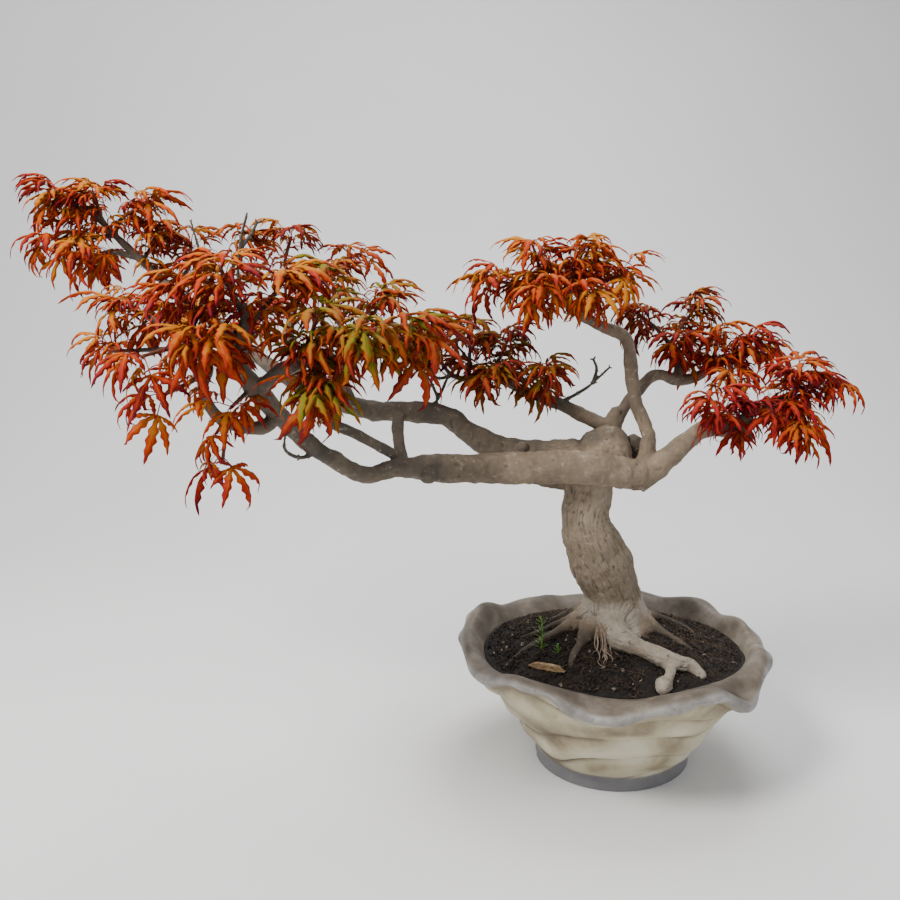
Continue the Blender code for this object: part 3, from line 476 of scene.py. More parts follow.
bowl = piece("bowl_clay", points, faces, None)
angle = np.repeat(turns, len(along))
ring = np.tile(along, BOWL_TURNS)
circle = np.stack([np.cos(angle), np.sin(angle)], axis=1)
body = np.clip((ring - 1.2) / 1.2, 0, 1) * np.clip((6.3 - ring) / 0.6, 0, 1)
lip = np.clip((ring - 5.7) / 0.8, 0, 1) * np.clip((10.6 - ring) / 1.2, 0, 1)
drift = field(np.column_stack([circle * 1.5, ring * 0.35]), 5)
phase = ring * 0.85 + 1.05 * np.sin(2 * angle + 0.9) + 0.65 * np.sin(3 * angle - 0.4) + 1.2 * drift
pillow = np.abs(np.sin(math.pi * phase)) ** CREASE_SHARPNESS
swell = field(np.column_stack([circle * 2.6, ring * 0.8]), 12)
strength = 0.5 + 0.6 * np.clip(0.5 + field(np.column_stack([circle * 1.9, ring * 0.5]), 9), 0, 1)
fold = (FOLD_DEPTH * (pillow - CREASE_LEVEL) * strength + SWELL_DEPTH * swell) * body
dents = DENT_DEPTH * field(np.column_stack([circle * 5.0, ring * 0.9]), 3) * lip
waves = WAVE_DEPTH * np.sin(WAVES_ROUND * angle + 5 * drift) * lip * np.clip((8.6 - ring) / 1.5, 0, 1)
grain = GRAIN_DEPTH * layered(corners_of(bowl.data) * GRAINS_PER_METRE, 4) * (ring > 1.1)
shown = np.clip(12 - ring, 0, 1)
relief = (fold + dents + waves + grain) * shown
place_points(bowl, corners_of(bowl.data) + normals_of(bowl.data) * relief[:, None])
store(bowl, "zone", ring / len(RINGS_BETWEEN))
store(bowl, "crease", (1 - np.clip(pillow * 1.6, 0, 1)) * np.clip(strength * 1.5 - 0.45, 0, 1))
store(bowl, "streak", 0.5 + 0.5 * field(np.column_stack([circle * 3.0, ring * 1.3 + drift]), 14))
print("fold", round(float(fold.min()) * 1000, 2), "to", round(float(fold.max()) * 1000, 2), "mm")

# %% [markdown]
# The glaze: ivory on the body with tan where it ran thin, brown lines in the creases deepened by painted
# shade, a matt grey-brown over the lip, a pale warm grey on the lip's outer roll with a painted sheen,
# and a cool grey foot. One flat colour for each would do from afar, but a glaze breaks: it thins on
# edges, so each colour is blended by the zone, the crease and some cloud.

# %% Bowl glaze


def glaze():
    finish = Finish("bowl_glaze")
    zone, crease, streak = (finish.stored(name) for name in ("zone", "crease", "streak"))
    cloud = finish.noise(30, 5, 0.65)
    speck = finish.noise(420, 2, 0.7)
    body = finish.colours(
        (0.34, (0.155, 0.112, 0.060)), (0.45, (0.30, 0.245, 0.145)), (0.55, (0.44, 0.385, 0.25)),
        (0.72, (0.57, 0.525, 0.385)), by=streak * 0.55 + cloud * 0.5,
    )
    # Painted shade in the creases: the body darkens to deep brown over the glaze's own brown lines.
    body = finish.mixed(crease.within(0.05, 0.75) * 0.9, body, (0.085, 0.056, 0.030))
    lip_top = finish.colours(
        (0.32, (0.070, 0.053, 0.036)), (0.5, (0.145, 0.115, 0.084)), (0.68, (0.26, 0.22, 0.175)), by=cloud,
    )
    # The lip's outer roll: pale grey glaze with a painted sheen that makes it paler than the lip's top.
    outer_roll_glaze_and_sheen = finish.colours(
        (0.32, (0.135, 0.118, 0.098)), (0.5, (0.235, 0.218, 0.198)), (0.68, (0.38, 0.365, 0.35)), by=cloud,
    )
    ragged = zone + (cloud - 0.5) * 0.035 + (streak - 0.5) * 0.02
    colour = finish.mixed(ragged.within(0.415, 0.455), body, outer_roll_glaze_and_sheen)
    colour = finish.mixed(ragged.within(0.545, 0.60), colour, lip_top)
    foot = 1 - ragged.within(0.07, 0.115)
    foot_grey = finish.mixed(cloud, (0.11, 0.105, 0.11), (0.24, 0.235, 0.245))
    colour = finish.mixed(foot, colour, foot_grey)
    colour = finish.mixed(speck.within(0.63, 0.72) * 0.55, colour, (0.10, 0.075, 0.05))
    rough = 0.42 + cloud * 0.3 + ragged.within(0.56, 0.62) * 0.1
    fine = finish.bump(finish.noise(900, 2, 0.6), 0.0002, 0.5)
    pits = finish.bump(finish.noise(160, 3, 0.6), 0.0006, 0.6, under=fine)
    return finish.dress(
        Base_Color=colour, Roughness=rough, Normal=pits, Coat_Weight=0.15, Coat_Roughness=0.35
    )


bowl.data.materials.append(glaze())
print("glaze nodes", len(bowl.data.materials[0].node_tree.nodes))

# %% [markdown]
# Water leaves the bowl through two round holes in its floor and along two grooves under the foot.
# They are cut with Booleans after the surface is shaped, with cutters that reach well past the wall.

# %% Drain holes and grooves
DRAIN_RADIUS = 0.009
DRAIN_OFFSET = 0.042
DRAIN_SIDES = 32
GROOVE_WIDTH = 0.012
GROOVE_DEPTH = 0.004
CUT_LOW = -0.01
CUT_HIGH = 0.03


def drain_ring(x, z):
    """The rim of a drain hole that stands at x, at a height z."""
    angles = 2 * math.pi * np.arange(DRAIN_SIDES) / DRAIN_SIDES
    across, along = DRAIN_RADIUS * np.cos(angles), DRAIN_RADIUS * np.sin(angles)
    return np.column_stack([x + across, along, np.full(DRAIN_SIDES, z)])


def groove_ring(x_from, x_to, z):
    """The outline of a groove under the foot, at a height z."""
    half = GROOVE_WIDTH / 2
    return [(x_from, -half, z), (x_to, -half, z), (x_to, half, z), (x_from, half, z)]


def prism(name, low_ring, high_ring):
    """A closed block between two outlines."""
    count = len(low_ring)
    faces = [(i, (i + 1) % count, (i + 1) % count + count, i + count) for i in range(count)]
    faces += [tuple(reversed(range(count))), tuple(range(count, 2 * count))]
    return piece(name, np.vstack([low_ring, high_ring]), faces, None, smooth=False)


def cut_with(made, cutter):
    cutting = made.modifiers.new("Cut", "BOOLEAN")
    cutting.operation = "DIFFERENCE"
    cutting.object = cutter
    baked(made)
    bpy.data.objects.remove(cutter, do_unlink=True)


for side in (-1, 1):
    x = side * DRAIN_OFFSET
    cut_with(bowl, prism("hole", drain_ring(x, CUT_LOW), drain_ring(x, CUT_HIGH)))
    ends = sorted((x, side * (FOOT_RADIUS + 0.01)))
    cut_with(bowl, prism("groove", groove_ring(*ends, CUT_LOW), groove_ring(*ends, GROOVE_DEPTH)))
bowl.data.shade_smooth()
bowl.data.set_sharp_from_angle(angle=math.radians(50))
dressed(bowl, "glazed_clay", "bowl")

# %% [markdown]
# Under the soil, a square of plastic mesh lies over each drain hole. Only a glimpse of it shows through
# the hole from below, so the solid stays and gets a finish: black plastic, a little dusty.

# %% Drain mesh finish


def drain_mesh():
    finish = Finish("drain_mesh_plastic")
    dust = finish.noise(300, 4, 0.7)
    colour = finish.mixed(dust.within(0.5, 0.8), (0.018, 0.018, 0.019), (0.09, 0.075, 0.06))
    ridges = finish.bump(finish.noise(700, 2), 0.0002, 0.6)
    return finish.dress(Base_Color=colour, Roughness=0.5 + dust * 0.3, Normal=ridges)


plastic = drain_mesh()
for side in ("left", "right"):
    screen = frame["nodes"]["drain_screen_" + side]
    screen.data.materials.clear()
    screen.data.materials.append(plastic)
    print(screen.name, "wears", plastic.name)

# %% [markdown]
# The potting mix is heaped towards the trunk and sinks to the lip. The body of it is one closed
# surface: a polar grid on top, which puts its fine cells where the heap shows, and the bowl's inner
# wall below. Crumbs and fibres come on top of it afterwards.

# %% The soil's surface
MOUND_TOP = 0.137
MOUND_RADIUS = 0.037
SOIL_EDGE = 10
SOIL_TURNS = 220
SOIL_RINGS = 64
LUMP_HEIGHT = 0.0022
LUMPS_PER_METRE = 90
SETTLED = 0.0006             # the top sinks by this, so that no lump passes the solid's


def soil_height(x, y):
    """The heaped surface: flat at the foot of the trunk, falling to the lip."""
    turns = np.arctan2(y, x)
    edge_r, edge_z = around(EDGE_RADII, turns), around(EDGE_HEIGHTS, turns)
    out = np.clip((np.hypot(x, y) - MOUND_RADIUS) / (edge_r - MOUND_RADIUS), 0, 1)
    return MOUND_TOP + (edge_z - MOUND_TOP) * out**0.9


def soil_surface():
    turns = 2 * math.pi * np.arange(SOIL_TURNS) / SOIL_TURNS
    wall = bowl_profile(turns)[:, SOIL_EDGE:][:, ::-1] + np.array([-GAP, GAP])
    edge = wall[:, -1:, 0]
    radii = edge * (1 - np.arange(1, SOIL_RINGS) / SOIL_RINGS)[None, :]
    x, y = radii * np.cos(turns)[:, None], radii * np.sin(turns)[:, None]
    heights = soil_height(x, y)
    flat = np.column_stack([x.ravel(), y.ravel(), 0 * x.ravel()])
    lumps = LUMP_HEIGHT * layered(flat * LUMPS_PER_METRE, 21).reshape(x.shape)
    lumps = lumps * np.clip((edge - radii) / 0.006, 0, 1) - SETTLED
    top = np.stack([radii, heights + lumps], axis=-1)
    return turned(np.concatenate([wall, top], axis=1), turns)


points, faces = soil_surface()
soil = piece("soil_body", points, faces, None)
print("soil top", round(float(points[:, 2].max()), 4))

# %% [markdown]
# Potting mix is dark, moist and loose: bark crumbs, grit and peat. A photograph of soil would show
# its repeats. Here each small cell of a pattern takes its own brown, and one cell in a hundred is pale
# grit, so that the colour changes from crumb to crumb.

# %% Soil finish


def potting_mix(name, low, high):
    finish = Finish(name)
    lump = finish.noise(240, 4, 0.65)
    pick = finish.node("ShaderNodeSeparateColor", None, {0: finish.cell_colours(330)})
    colour = finish.mixed(pick * 0.75 + lump * 0.25, low, high)
    bright = pick.within(0.985, 0.99)
    colour = finish.mixed(bright * 0.8, colour, (0.34, 0.27, 0.19))
    rough = finish.bump(finish.noise(900, 3, 0.7), 0.0006, 0.9)
    return finish.dress(Base_Color=colour, Roughness=0.72 + lump * 0.25, Normal=rough)


soil.data.materials.append(potting_mix("potting_mix", (0.004, 0.0028, 0.002), (0.018, 0.012, 0.008)))
crumb_mix = potting_mix("potting_crumbs", (0.004, 0.0028, 0.002), (0.048, 0.030, 0.018))
dressed(soil, "potting_soil", "soil")

# %% [markdown]
# Geometry Nodes make what repeats. Each tree has named inputs for its sizes and ends by making its
# copies real and giving them their finish, because an export drops instances. The helpers below open
# a tree, end it, and turn what it makes into a plain mesh.

# %% Open and end a tree of nodes


def new_tree(name, **inputs):
    """A Geometry Nodes graph with named inputs, and the wires that bring them in."""
    tree = bpy.data.node_groups.new(name, "GeometryNodeTree")
    tree.interface.new_socket("Geometry", in_out="INPUT", socket_type="NodeSocketGeometry")
    for label, kind in inputs.items():
        tree.interface.new_socket(label, in_out="INPUT", socket_type="NodeSocket" + kind)
    tree.interface.new_socket("Geometry", in_out="OUTPUT", socket_type="NodeSocketGeometry")
    graph = Graph(tree)
    given = tree.nodes.new("NodeGroupInput")
    return graph, {socket.name: Wire(graph, socket) for socket in given.outputs if socket.name}


def end_tree(graph, shape, finish):
    done = graph.node("GeometryNodeSetMaterial", None, {"Geometry": shape, "Material": finish})
    graph.feed(graph.tree.nodes.new("NodeGroupOutput").inputs[0], done)
    print(graph.tree.name, len(graph.tree.nodes), "nodes")
    return graph.tree


def random_value(graph, low, high, seed):
    """A random number from low to high, or a random vector where these are vectors."""
    if isinstance(low, tuple):
        kind, sockets, out = "FLOAT_VECTOR", {0: low, 1: high, "Seed": seed}, 0
    else:
        kind, sockets, out = "FLOAT", {2: low, 3: high, "Seed": seed}, 1
    return graph.node("FunctionNodeRandomValue", {"data_type": kind}, sockets, out)


def scaled(graph, vector, factor):
    return graph.node("ShaderNodeVectorMath", {"operation": "SCALE"}, {0: vector, "Scale": factor})


def with_tree(made, tree, **values):
    """The mesh that a Geometry Nodes tree makes of an object, as a plain mesh."""
    modifier = made.modifiers.new(tree.name, "NODES")
    modifier.node_group = tree
    for item in tree.interface.items_tree:
        if item.in_out == "INPUT" and item.name in values:
            modifier[item.identifier] = values[item.name]
    made.update_tag()
    bpy.context.view_layer.update()
    return baked(made)


# %% [markdown]
# The granules repeat by the thousand and follow the surface, so a tree scatters them: points on the
# faces, a small stone on each, turned and sized at random, then made real and pushed out of shape. A
# stone of twenty faces is enough at this size.

# %% Scatter small stones
ANY_TURN = (6.28, 6.28, 6.28)
STONE_SHAPES = ((0.7, 0.5, 0.35), (1.5, 1.1, 0.8))
STONE_BUMPS_PER_METRE = 900.0
STONE_BUMP = 0.0014


def scatter_tree(finish):
    graph, ask = new_tree("scatter_crumbs", Density="Float", Smallest="Float", Largest="Float", Seed="Int")
    points = graph.node(
        "GeometryNodeDistributePointsOnFaces", None,
        {"Mesh": ask["Geometry"], "Density": ask["Density"], "Seed": ask["Seed"]},
    )
    stone = graph.node("GeometryNodeMeshIcoSphere", None, {"Radius": 0.5, "Subdivisions": 1})
    spin = random_value(graph, (0, 0, 0), ANY_TURN, ask["Seed"])
    size = random_value(graph, ask["Smallest"], ask["Largest"], ask["Seed"])
    shape = scaled(graph, random_value(graph, *STONE_SHAPES, ask["Seed"]), size)
    stones = graph.node(
        "GeometryNodeInstanceOnPoints", None,
        {"Points": points, "Instance": stone, "Rotation": spin, "Scale": shape},
    )
    real = graph.node("GeometryNodeRealizeInstances", None, {"Geometry": stones})
    where = graph.node("GeometryNodeInputPosition")
    sockets = {"Vector": where, "Scale": STONE_BUMPS_PER_METRE}
    bumpy = graph.node("ShaderNodeTexNoise", None, sockets, "Color")
    centred = graph.node("ShaderNodeVectorMath", {"operation": "SUBTRACT"}, {0: bumpy, 1: (0.5, 0.5, 0.5)})
    offset = scaled(graph, centred, STONE_BUMP)
    rough = graph.node("GeometryNodeSetPosition", None, {"Geometry": real, "Offset": offset})
    return end_tree(graph, rough, finish)


print("the bumps of a stone are", STONE_BUMP * 1000, "mm high")

# %% [markdown]
# The crumbs lie on an open patch of the soil's top that stops short of the bowl's wall and of the
# trunk. Scattering on the soil itself would also put stones under it, where nobody sees them.

# %% Crumbs on the soil
CRUMBS_PER_AREA = 105000.0
CRUMB_SIZES = (0.0014, 0.0046)
CRUMB_REACH = 0.965          # share of the way to the soil's edge
CRUMB_START = 0.026          # radius, inside the trunk's foot
CRUMB_SEED = 4
PATCH_TURNS = 96
PATCH_RINGS = 30


def soil_patch(name, reach, low_radius):
    """An open patch of the soil's top, from a radius out to a share of its edge."""
    angles = 2 * math.pi * np.arange(PATCH_TURNS) / PATCH_TURNS
    edge = around(EDGE_RADII, angles) * reach
    shares = np.arange(PATCH_RINGS)[None, :] / (PATCH_RINGS - 1)
    radii = low_radius + (edge[:, None] - low_radius) * shares
    x, y = radii * np.cos(angles)[:, None], radii * np.sin(angles)[:, None]
    points = np.stack([x, y, soil_height(x, y)], axis=-1).reshape(-1, 3)
    faces = []
    for i in range(PATCH_TURNS):
        here, there = i * PATCH_RINGS, (i + 1) % PATCH_TURNS * PATCH_RINGS
        faces += [(here + k, here + k + 1, there + k + 1, there + k) for k in range(PATCH_RINGS - 1)]
    return piece(name, points, faces, None)


def scattered(made, finish, density, sizes, seed):
    tree = scatter_tree(finish)
    with_tree(made, tree, Density=density, Smallest=sizes[0], Largest=sizes[1], Seed=seed)
    made.data.shade_flat()
    return made


crumbs = soil_patch("soil_crumbs", CRUMB_REACH, CRUMB_START)
scattered(crumbs, crumb_mix, CRUMBS_PER_AREA, CRUMB_SIZES, CRUMB_SEED)
dressed(crumbs, "potting_soil")

# %% [markdown]
# The living wood is one piece: surface roots, trunk, limbs and twigs. Its routes were chosen
# from the photograph, point by point, and are repeated here from the solid model, because bark has
# to know which way the wood runs. Tubes alone would meet in hard creases, so they are sunk into one
# another, merged into one skin, and the bark is then raised from that skin.

# %% Routes of the wood: x, y, z and radius in millimetres


def in_metres(value):
    """A number of millimetres, or nested numbers of millimetres, in metres."""
    if isinstance(value, tuple):
        return tuple(in_metres(inner) for inner in value)
    return round(value / 1000, 6)


TRUNK = in_metres((
    (2, 0, 104, 40), (1, 0, 130, 41), (0, 0, 144, 35), (-1, -1, 156, 30), (-3, -3, 172, 26.5),
    (-8, -6, 188, 27.5), (-15, -8, 203, 29), (-22, -10, 220, 26.5), (-28, -10, 235, 23.5),
    (-30, -10, 250, 22), (-27, -10, 268, 22), (-24, -8, 284, 22.5), (-12, 0, 300, 27), (-6, 6, 313, 24),
))
LIMBS = {
    "front_limb": (
        (24, -13, 286, 15), (-19, -28, 297, 15), (-56, -35, 301, 15), (-110, -35, 301, 14.5),
        (-145, -45, 304, 13), (-172, -58, 308, 12), (-199, -70, 312, 8.5), (-224, -82, 309, 7.8),
        (-241, -91, 317, 7.8), (-256, -101, 330, 7.6), (-270, -113, 344, 7.6), (-284, -126, 363, 7.8),
        (-297, -137, 382, 8.5), (-306, -147, 397, 8.5), (-309, -151, 404, 6.5),
    ),
    "long_limb": (
        (-18, 4, 294, 23), (-52, 5, 294, 24), (-80, 8, 297, 21), (-99, 10, 303, 17),
        (-118, 12, 312, 13), (-141, 12, 328, 11), (-155, 10, 339, 10.5), (-173, 10, 345, 10.2),
        (-201, 8, 347, 10), (-225, 5, 348, 9.5), (-247, 2, 355, 9), (-262, 1, 363, 8.6),
        (-295, 1, 377, 8), (-338, 12, 406, 6.5), (-382, 23, 441, 5), (-414, 28, 467, 4.2),
        (-436, 30, 489, 3.6), (-458, 28, 512, 3),
    ),
    "graft": (
        (-196, -66, 312, 7), (-199, -45, 320, 5.2), (-202, -20, 333, 5.2), (-203, 4, 345, 6.5),
    ),
    "lower_left_twig": (
        (-198, -60, 318, 5), (-219, -75, 334, 4.5), (-239, -85, 348, 4.4), (-251, -90, 355, 4.4),
        (-254, -91, 366, 4), (-257, -92, 374, 3.4),
    ),
    "hooked_twig": (
        (-290, -132, 370, 6), (-303, -143, 364, 5.6), (-317, -150, 367, 5.4), (-330, -155, 373, 5.2),
        (-339, -156, 385, 4.8), (-342, -155, 399, 4.4), (-338, -151, 412, 4), (-344, -146, 428, 3.4),
    ),
    "front_riser": (
        (-305, -147, 396, 7.8), (-311, -160, 411, 7.2), (-313, -170, 427, 6.6), (-306, -181, 440, 5.8),
        (-299, -190, 450, 5), (-300, -194, 462, 4.4),
    ),
    "front_spreader": (
        (-302, -145, 394, 6.4), (-285, -166, 409, 5.4), (-271, -180, 417, 4.8), (-259, -188, 421, 4.2),
        (-232, -192, 423, 3.6), (-208, -192, 425, 3.2),
    ),
    "middle_riser": (
        (-244, 3, 353, 6), (-250, -16, 380, 4.6), (-249, -34, 405, 4), (-243, -42, 426, 3.4),
    ),
    "back_riser": (
        (-292, 1, 376, 6), (-302, 18, 410, 4.6), (-299, 30, 440, 4), (-290, 34, 460, 3.4),
    ),
    "right_limb": (
        (16, -14, 282, 14), (38, -15, 296, 11.5), (56, -15, 313, 9.5), (73, -18, 328, 8.5),
        (87, -20, 332, 8.5), (104, -22, 329, 9), (114, -24, 335, 7),
    ),
    "right_tip": (
        (107, -22, 333, 5.5), (118, -26, 347, 4.2), (133, -30, 356, 3.6), (147, -34, 359, 3.2),
    ),
    "stub_stem": (
        (-3, 3, 300, 10), (-2, 7, 318, 8.8), (-2, 9, 334, 8), (3, 12, 342, 6.8),
    ),
    "centre_limb": (
        (-3, 8, 326, 7.5), (-20, 12, 334, 6.8), (-50, 22, 348, 6), (-78, 31, 358, 5.4),
        (-101, 38, 369, 4.6), (-124, 41, 376, 3.8), (-139, 42, 371, 3.2), (-152, 42, 375, 2.8),
    ),
    "right_riser": (
        (0, 9, 333, 7.4), (14, 19, 350, 6.2), (27, 30, 361, 6), (44, 41, 372, 5.8), (70, 54, 364, 5.6),
        (90, 61, 367, 5), (103, 64, 376, 3.6),
    ),
    "back_right_riser": (
        (68, 52, 366, 4.6), (70, 64, 380, 4), (64, 76, 396, 3.4),
    ),
    "top_riser": (
        (22, -12, 288, 10), (26, -10, 307, 7.8), (28, -8, 323, 7.2), (23, -5, 337, 6.6),
        (18, -2, 350, 6.6), (15, 0, 366, 6.4), (12, 4, 391, 6.2), (9, 7, 409, 6), (2, 9, 416, 5.8),
        (-16, 10, 423, 5.6), (-34, 11, 435, 5.8), (-47, 12, 446, 5.4), (-55, 12, 454, 4),
    ),
}
LIMBS = {name: in_metres(route) for name, route in LIMBS.items()}
CUT_SCARS = in_metres((
    ((-20, 8, 300), (-24, 6, 317), 13), ((12, 10, 298), (20, 10, 315), 11),
    ((-174, -58, 306), (-175, -71, 304), 9.5), ((104, -22, 327), (116, -26, 324), 7.5),
    ((-86, 10, 303), (-88, -6, 314), 7),
))
BARE_TWIGS = in_metres((
    ((-340, 12, 407), (-342, 0, 470), (-337, -4, 505), (-330, -4, 528)),
    ((-338, -2, 498), (-327, -2, 512), (-322, -2, 521)),
    ((-372, 20, 433), (-378, 26, 480), (-388, 30, 523)),
    ((-152, 41, 375), (-166, 40, 373), (-178, 40, 386)),
    ((-128, 41, 376), (-138, 48, 392), (-146, 50, 402)),
    ((-178, 10, 346), (-166, 14, 356), (-156, 20, 376), (-151, 22, 383)),
    ((-165, 14, 357), (-171, 18, 371), (-175, 18, 379)),
    ((-60, 26, 352), (-70, 30, 366), (-72, 32, 380)),
    ((-52, 22, 349), (-36, 18, 358), (-22, 14, 368), (-6, 10, 384)),
    ((-21, 14, 368), (-17, 14, 382), (-20, 14, 391)),
    ((-262, -108, 335), (-277, -120, 334), (-287, -127, 342), (-286, -131, 354)),
))
# Roots: x, y, height of the middle above the soil, radius
ROOTS = in_metres((
    ((-6, -24, 6, 18), (-3, -44, 6, 12), (14, -58, 6, 8.5), (34, -72, 6, 8), (47, -78, 6, 7),
     (57, -77, 4, 6), (66, -83, -2, 5)),
    ((36, -73, 5, 6.2), (38, -85, 4, 4.5), (33, -95, 2, 4.5), (28, -102, 2, 8.5), (26, -107, 2, 6)),
    ((-26, -6, 6, 14), (-52, -10, 3, 8), (-68, -13, 1, 5.5), (-87, -20, 0, 4.2), (-99, -27, -3, 3)),
    ((-22, -22, 4, 15), (-36, -40, 2, 9), (-46, -56, 0, 5.5), (-50, -68, -3, 3.5)),
    ((20, 6, 4, 15), (44, 20, 2, 7.5), (60, 26, 1, 5.5), (77, 18, 0, 4.5), (84, 2, -3, 3.2)),
    ((22, -6, 3, 13), (44, -20, 1, 6.5), (60, -34, 0, 4.5), (72, -40, -3, 3)),
    ((2, 24, 4, 14), (12, 46, 1, 7.5), (24, 62, -3, 4)),
    ((-22, 14, 4, 14), (-44, 30, 1, 7.5), (-60, 40, -3, 4)),
    ((-30, 0, 3, 11), (-56, 10, 1, 5.5), (-76, 8, 0, 4.2), (-92, 14, -3, 3)),
))
print("limbs", len(LIMBS), "cut scars", len(CUT_SCARS), "bare twigs", len(BARE_TWIGS), "roots", len(ROOTS))

# %% [markdown]
# Each leafy spray starts from a shoot at a chosen place. The list says where, which way it points, how
# many full-grown leaves it carries and their size. The twig that feeds it bends out of the nearest
# limb, as a maple's twigs do after years of pinching.

# %% Sprays of the crown: place in millimetres, heading, leaves, size
SPRAYS = {
    "far_left": (
        ((-470, 28, 532), (-0.2, -0.1, 1), 4, 1), ((-488, 25, 538), (-1, -0.2, 0.5), 4, 1),
        ((-495, 28, 510), (-1, -0.4, 0), 3, 1), ((-464, 18, 497), (-0.6, -0.6, -0.1), 3, 1),
        ((-448, 32, 530), (1, 0, 0.5), 3, 1),
    ),
    "left_back": (
        ((-430, 40, 500), (0.4, -0.3, 0.6), 3, 0.92), ((-395, 45, 486), (0, 0.4, 0.9), 3, 0.92),
        ((-353, 45, 486), (0.3, 0.4, 0.9), 3, 0.92), ((-305, 40, 489), (0.3, 0.1, 0.9), 3, 0.9),
        ((-257, 20, 473), (0.8, 0.2, 0.6), 3, 0.92),
    ),
    "left_front": (
        ((-307, -195, 472), (-0.3, -0.3, 0.9), 4, 1.05), ((-337, -170, 458), (-0.8, -0.3, 0.6), 4, 1.05),
        ((-283, -180, 465), (0.62, 0.04, 0.8), 3, 1.02), ((-386, -130, 450), (-0.9, 0.1, 0.4), 3, 1),
        ((-401, -125, 424), (-1, -0.1, 0), 3, 0.95), ((-366, -165, 429), (-0.66, -0.64, -0.16), 3, 0.99),
        ((-323, -190, 434), (-0.15, -0.88, 0.34), 4, 1.09), ((-355, -160, 401), (-0.7, -0.4, -0.3), 3, 0.95),
        ((-327, -158, 362), (-0.1, -0.3, -0.9), 2, 1), ((-312, -163, 391), (-0.2, -0.9, -0.2), 3, 0.9),
        ((-358, -120, 439), (-0.5, 0.7, 0.4), 3, 0.95), ((-307, -120, 438), (0.2, 0.8, 0.5), 3, 0.95),
    ),
    "middle": (
        ((-254, -195, 436), (0.35, -0.25, 0.9), 4, 1.08), ((-225, -200, 436), (0.5, -0.8, 0.4), 3, 1.1),
        ((-196, -195, 436), (1, -0.2, 0.2), 4, 1.1), ((-246, -185, 403), (-0.2, -0.9, 0), 3, 1.05),
        ((-254, -60, 456), (-0.15, 0.05, 1), 3, 0.94), ((-222, -40, 438), (0.6, 0, 0.8), 3, 0.95),
        ((-193, -20, 421), (0.9, 0.1, 0.4), 3, 0.92), ((-253, -95, 384), (-0.2, -0.4, 0.7), 2, 0.9),
    ),
    "centre": (
        ((-166, 42, 394), (-0.4, -0.1, 0.9), 3, 0.95), ((-134, 42, 400), (0, -0.2, 1), 4, 0.98),
        ((-106, 40, 390), (0.4, 0, 0.9), 4, 0.98), ((-117, 20, 374), (0, -0.9, 0.3), 3, 0.95),
        ((-79, 22, 374), (0.7, -0.6, 0.4), 3, 0.98),
    ),
    "top": (
        ((-70, 10, 474), (-0.3, 0, 1), 4, 0.98), ((-38, 12, 475), (0.4, 0, 0.9), 4, 0.98),
        ((-96, 5, 462), (-1, -0.2, 0.3), 4, 0.98), ((-68, -12, 456), (-0.2, -1, 0.1), 3, 0.98),
        ((-18, 5, 463), (1, -0.2, 0.2), 3, 0.95), ((-41, -10, 455), (0.4, -0.9, 0.1), 3, 0.98),
        ((-49, 35, 464), (0.1, 1, 0.4), 3, 0.92),
    ),
    "back_right": (
        ((45, 82, 418), (-0.8, -0.1, 0.6), 3, 0.92), ((80, 82, 418), (0.6, 0.1, 0.8), 4, 0.92),
    ),
    "right": (
        ((82, 65, 390), (-0.6, -0.6, 0.6), 3, 1), ((107, 68, 391), (0.1, 0, 1), 4, 0.98),
        ((128, 62, 389), (1, -0.2, 0.3), 4, 1.02), ((108, 50, 373), (0.3, -0.9, 0), 2, 0.9),
    ),
    "low_right": (
        ((89, -32, 343), (-0.5, -0.6, 0.6), 3, 1), ((115, -32, 347), (0.8, -0.5, 0.4), 3, 1),
    ),
    "far_right": (
        ((151, -38, 369), (0.2, 0, 1), 4, 0.95), ((156, -36, 368), (1, 0, 0.4), 3, 0.95),
        ((142, -40, 352), (0.4, -0.5, -0.5), 2, 0.95),
    ),
}
for part, sprays in SPRAYS.items():
    SPRAYS[part] = [(in_metres(start), *rest) for start, *rest in sprays]
print("sprays", sum(len(sprays) for sprays in SPRAYS.values()))

# %% [markdown]
# The routes above have few points. A curve through them gives rows close enough for a smooth tube.
# The feeding twigs aren't listed anywhere: each is a bent line from the nearest limb, worked out from
# where its spray starts, which keeps twig and spray together whenever a spray is moved.

# %% Smooth routes and feeding twigs
TWIG_RADII = (0.0027, 0.0019)
LIMB_SAMPLE = 0.028
TWIG_REACH = 0.030
TWIG_BEND = 0.38
TWIG_STEP = 0.006


def smooth_route(points, spacing):
    """(x, y, z, radius) rows on a smooth curve through the points, about `spacing` apart."""
    rows = np.array(points, float)
    padded = np.vstack([2 * rows[0] - rows[1], rows, 2 * rows[-1] - rows[-2]])
    out = [rows[0]]
    for a, b, c, d in zip(padded, padded[1:], padded[2:], padded[3:]):
        parts = max(1, round(float(np.linalg.norm((c - b)[:3])) / spacing))
        out += [between(a, b, c, d, t) for t in np.arange(1, parts + 1) / parts]
    return np.array(out)


LIMB_STARTS = np.vstack([smooth_route(route, LIMB_SAMPLE)[1:] for route in LIMBS.values()])


def spray_twig(base, heading):
    """The twig from the nearest limb to the place where a spray's shoot starts."""
    target = np.array(base)
    ahead = np.array(Vector(heading).normalized())
    near = target - TWIG_REACH * ahead
    start = LIMB_STARTS[np.argmin(np.linalg.norm(LIMB_STARTS[:, :3] - near, axis=1))]
    length = float(np.linalg.norm(target - start[:3]))
    bend = target - TWIG_BEND * length * ahead
    root_radius = min(TWIG_RADII[0] * (0.7 + length / 0.11), start[3] * 0.85)
    out = []
    for t in np.linspace(0, 1, max(4, round(length / TWIG_STEP))):
        place = (1 - t) ** 2 * start[:3] + 2 * t * (1 - t) * bend + t**2 * target
        out.append((*place, root_radius + (TWIG_RADII[1] - root_radius) * t))
    return np.array(out)


twigs = [spray_twig(base, heading) for sprays in SPRAYS.values() for base, heading, *_ in sprays]
print("twigs", len(twigs))

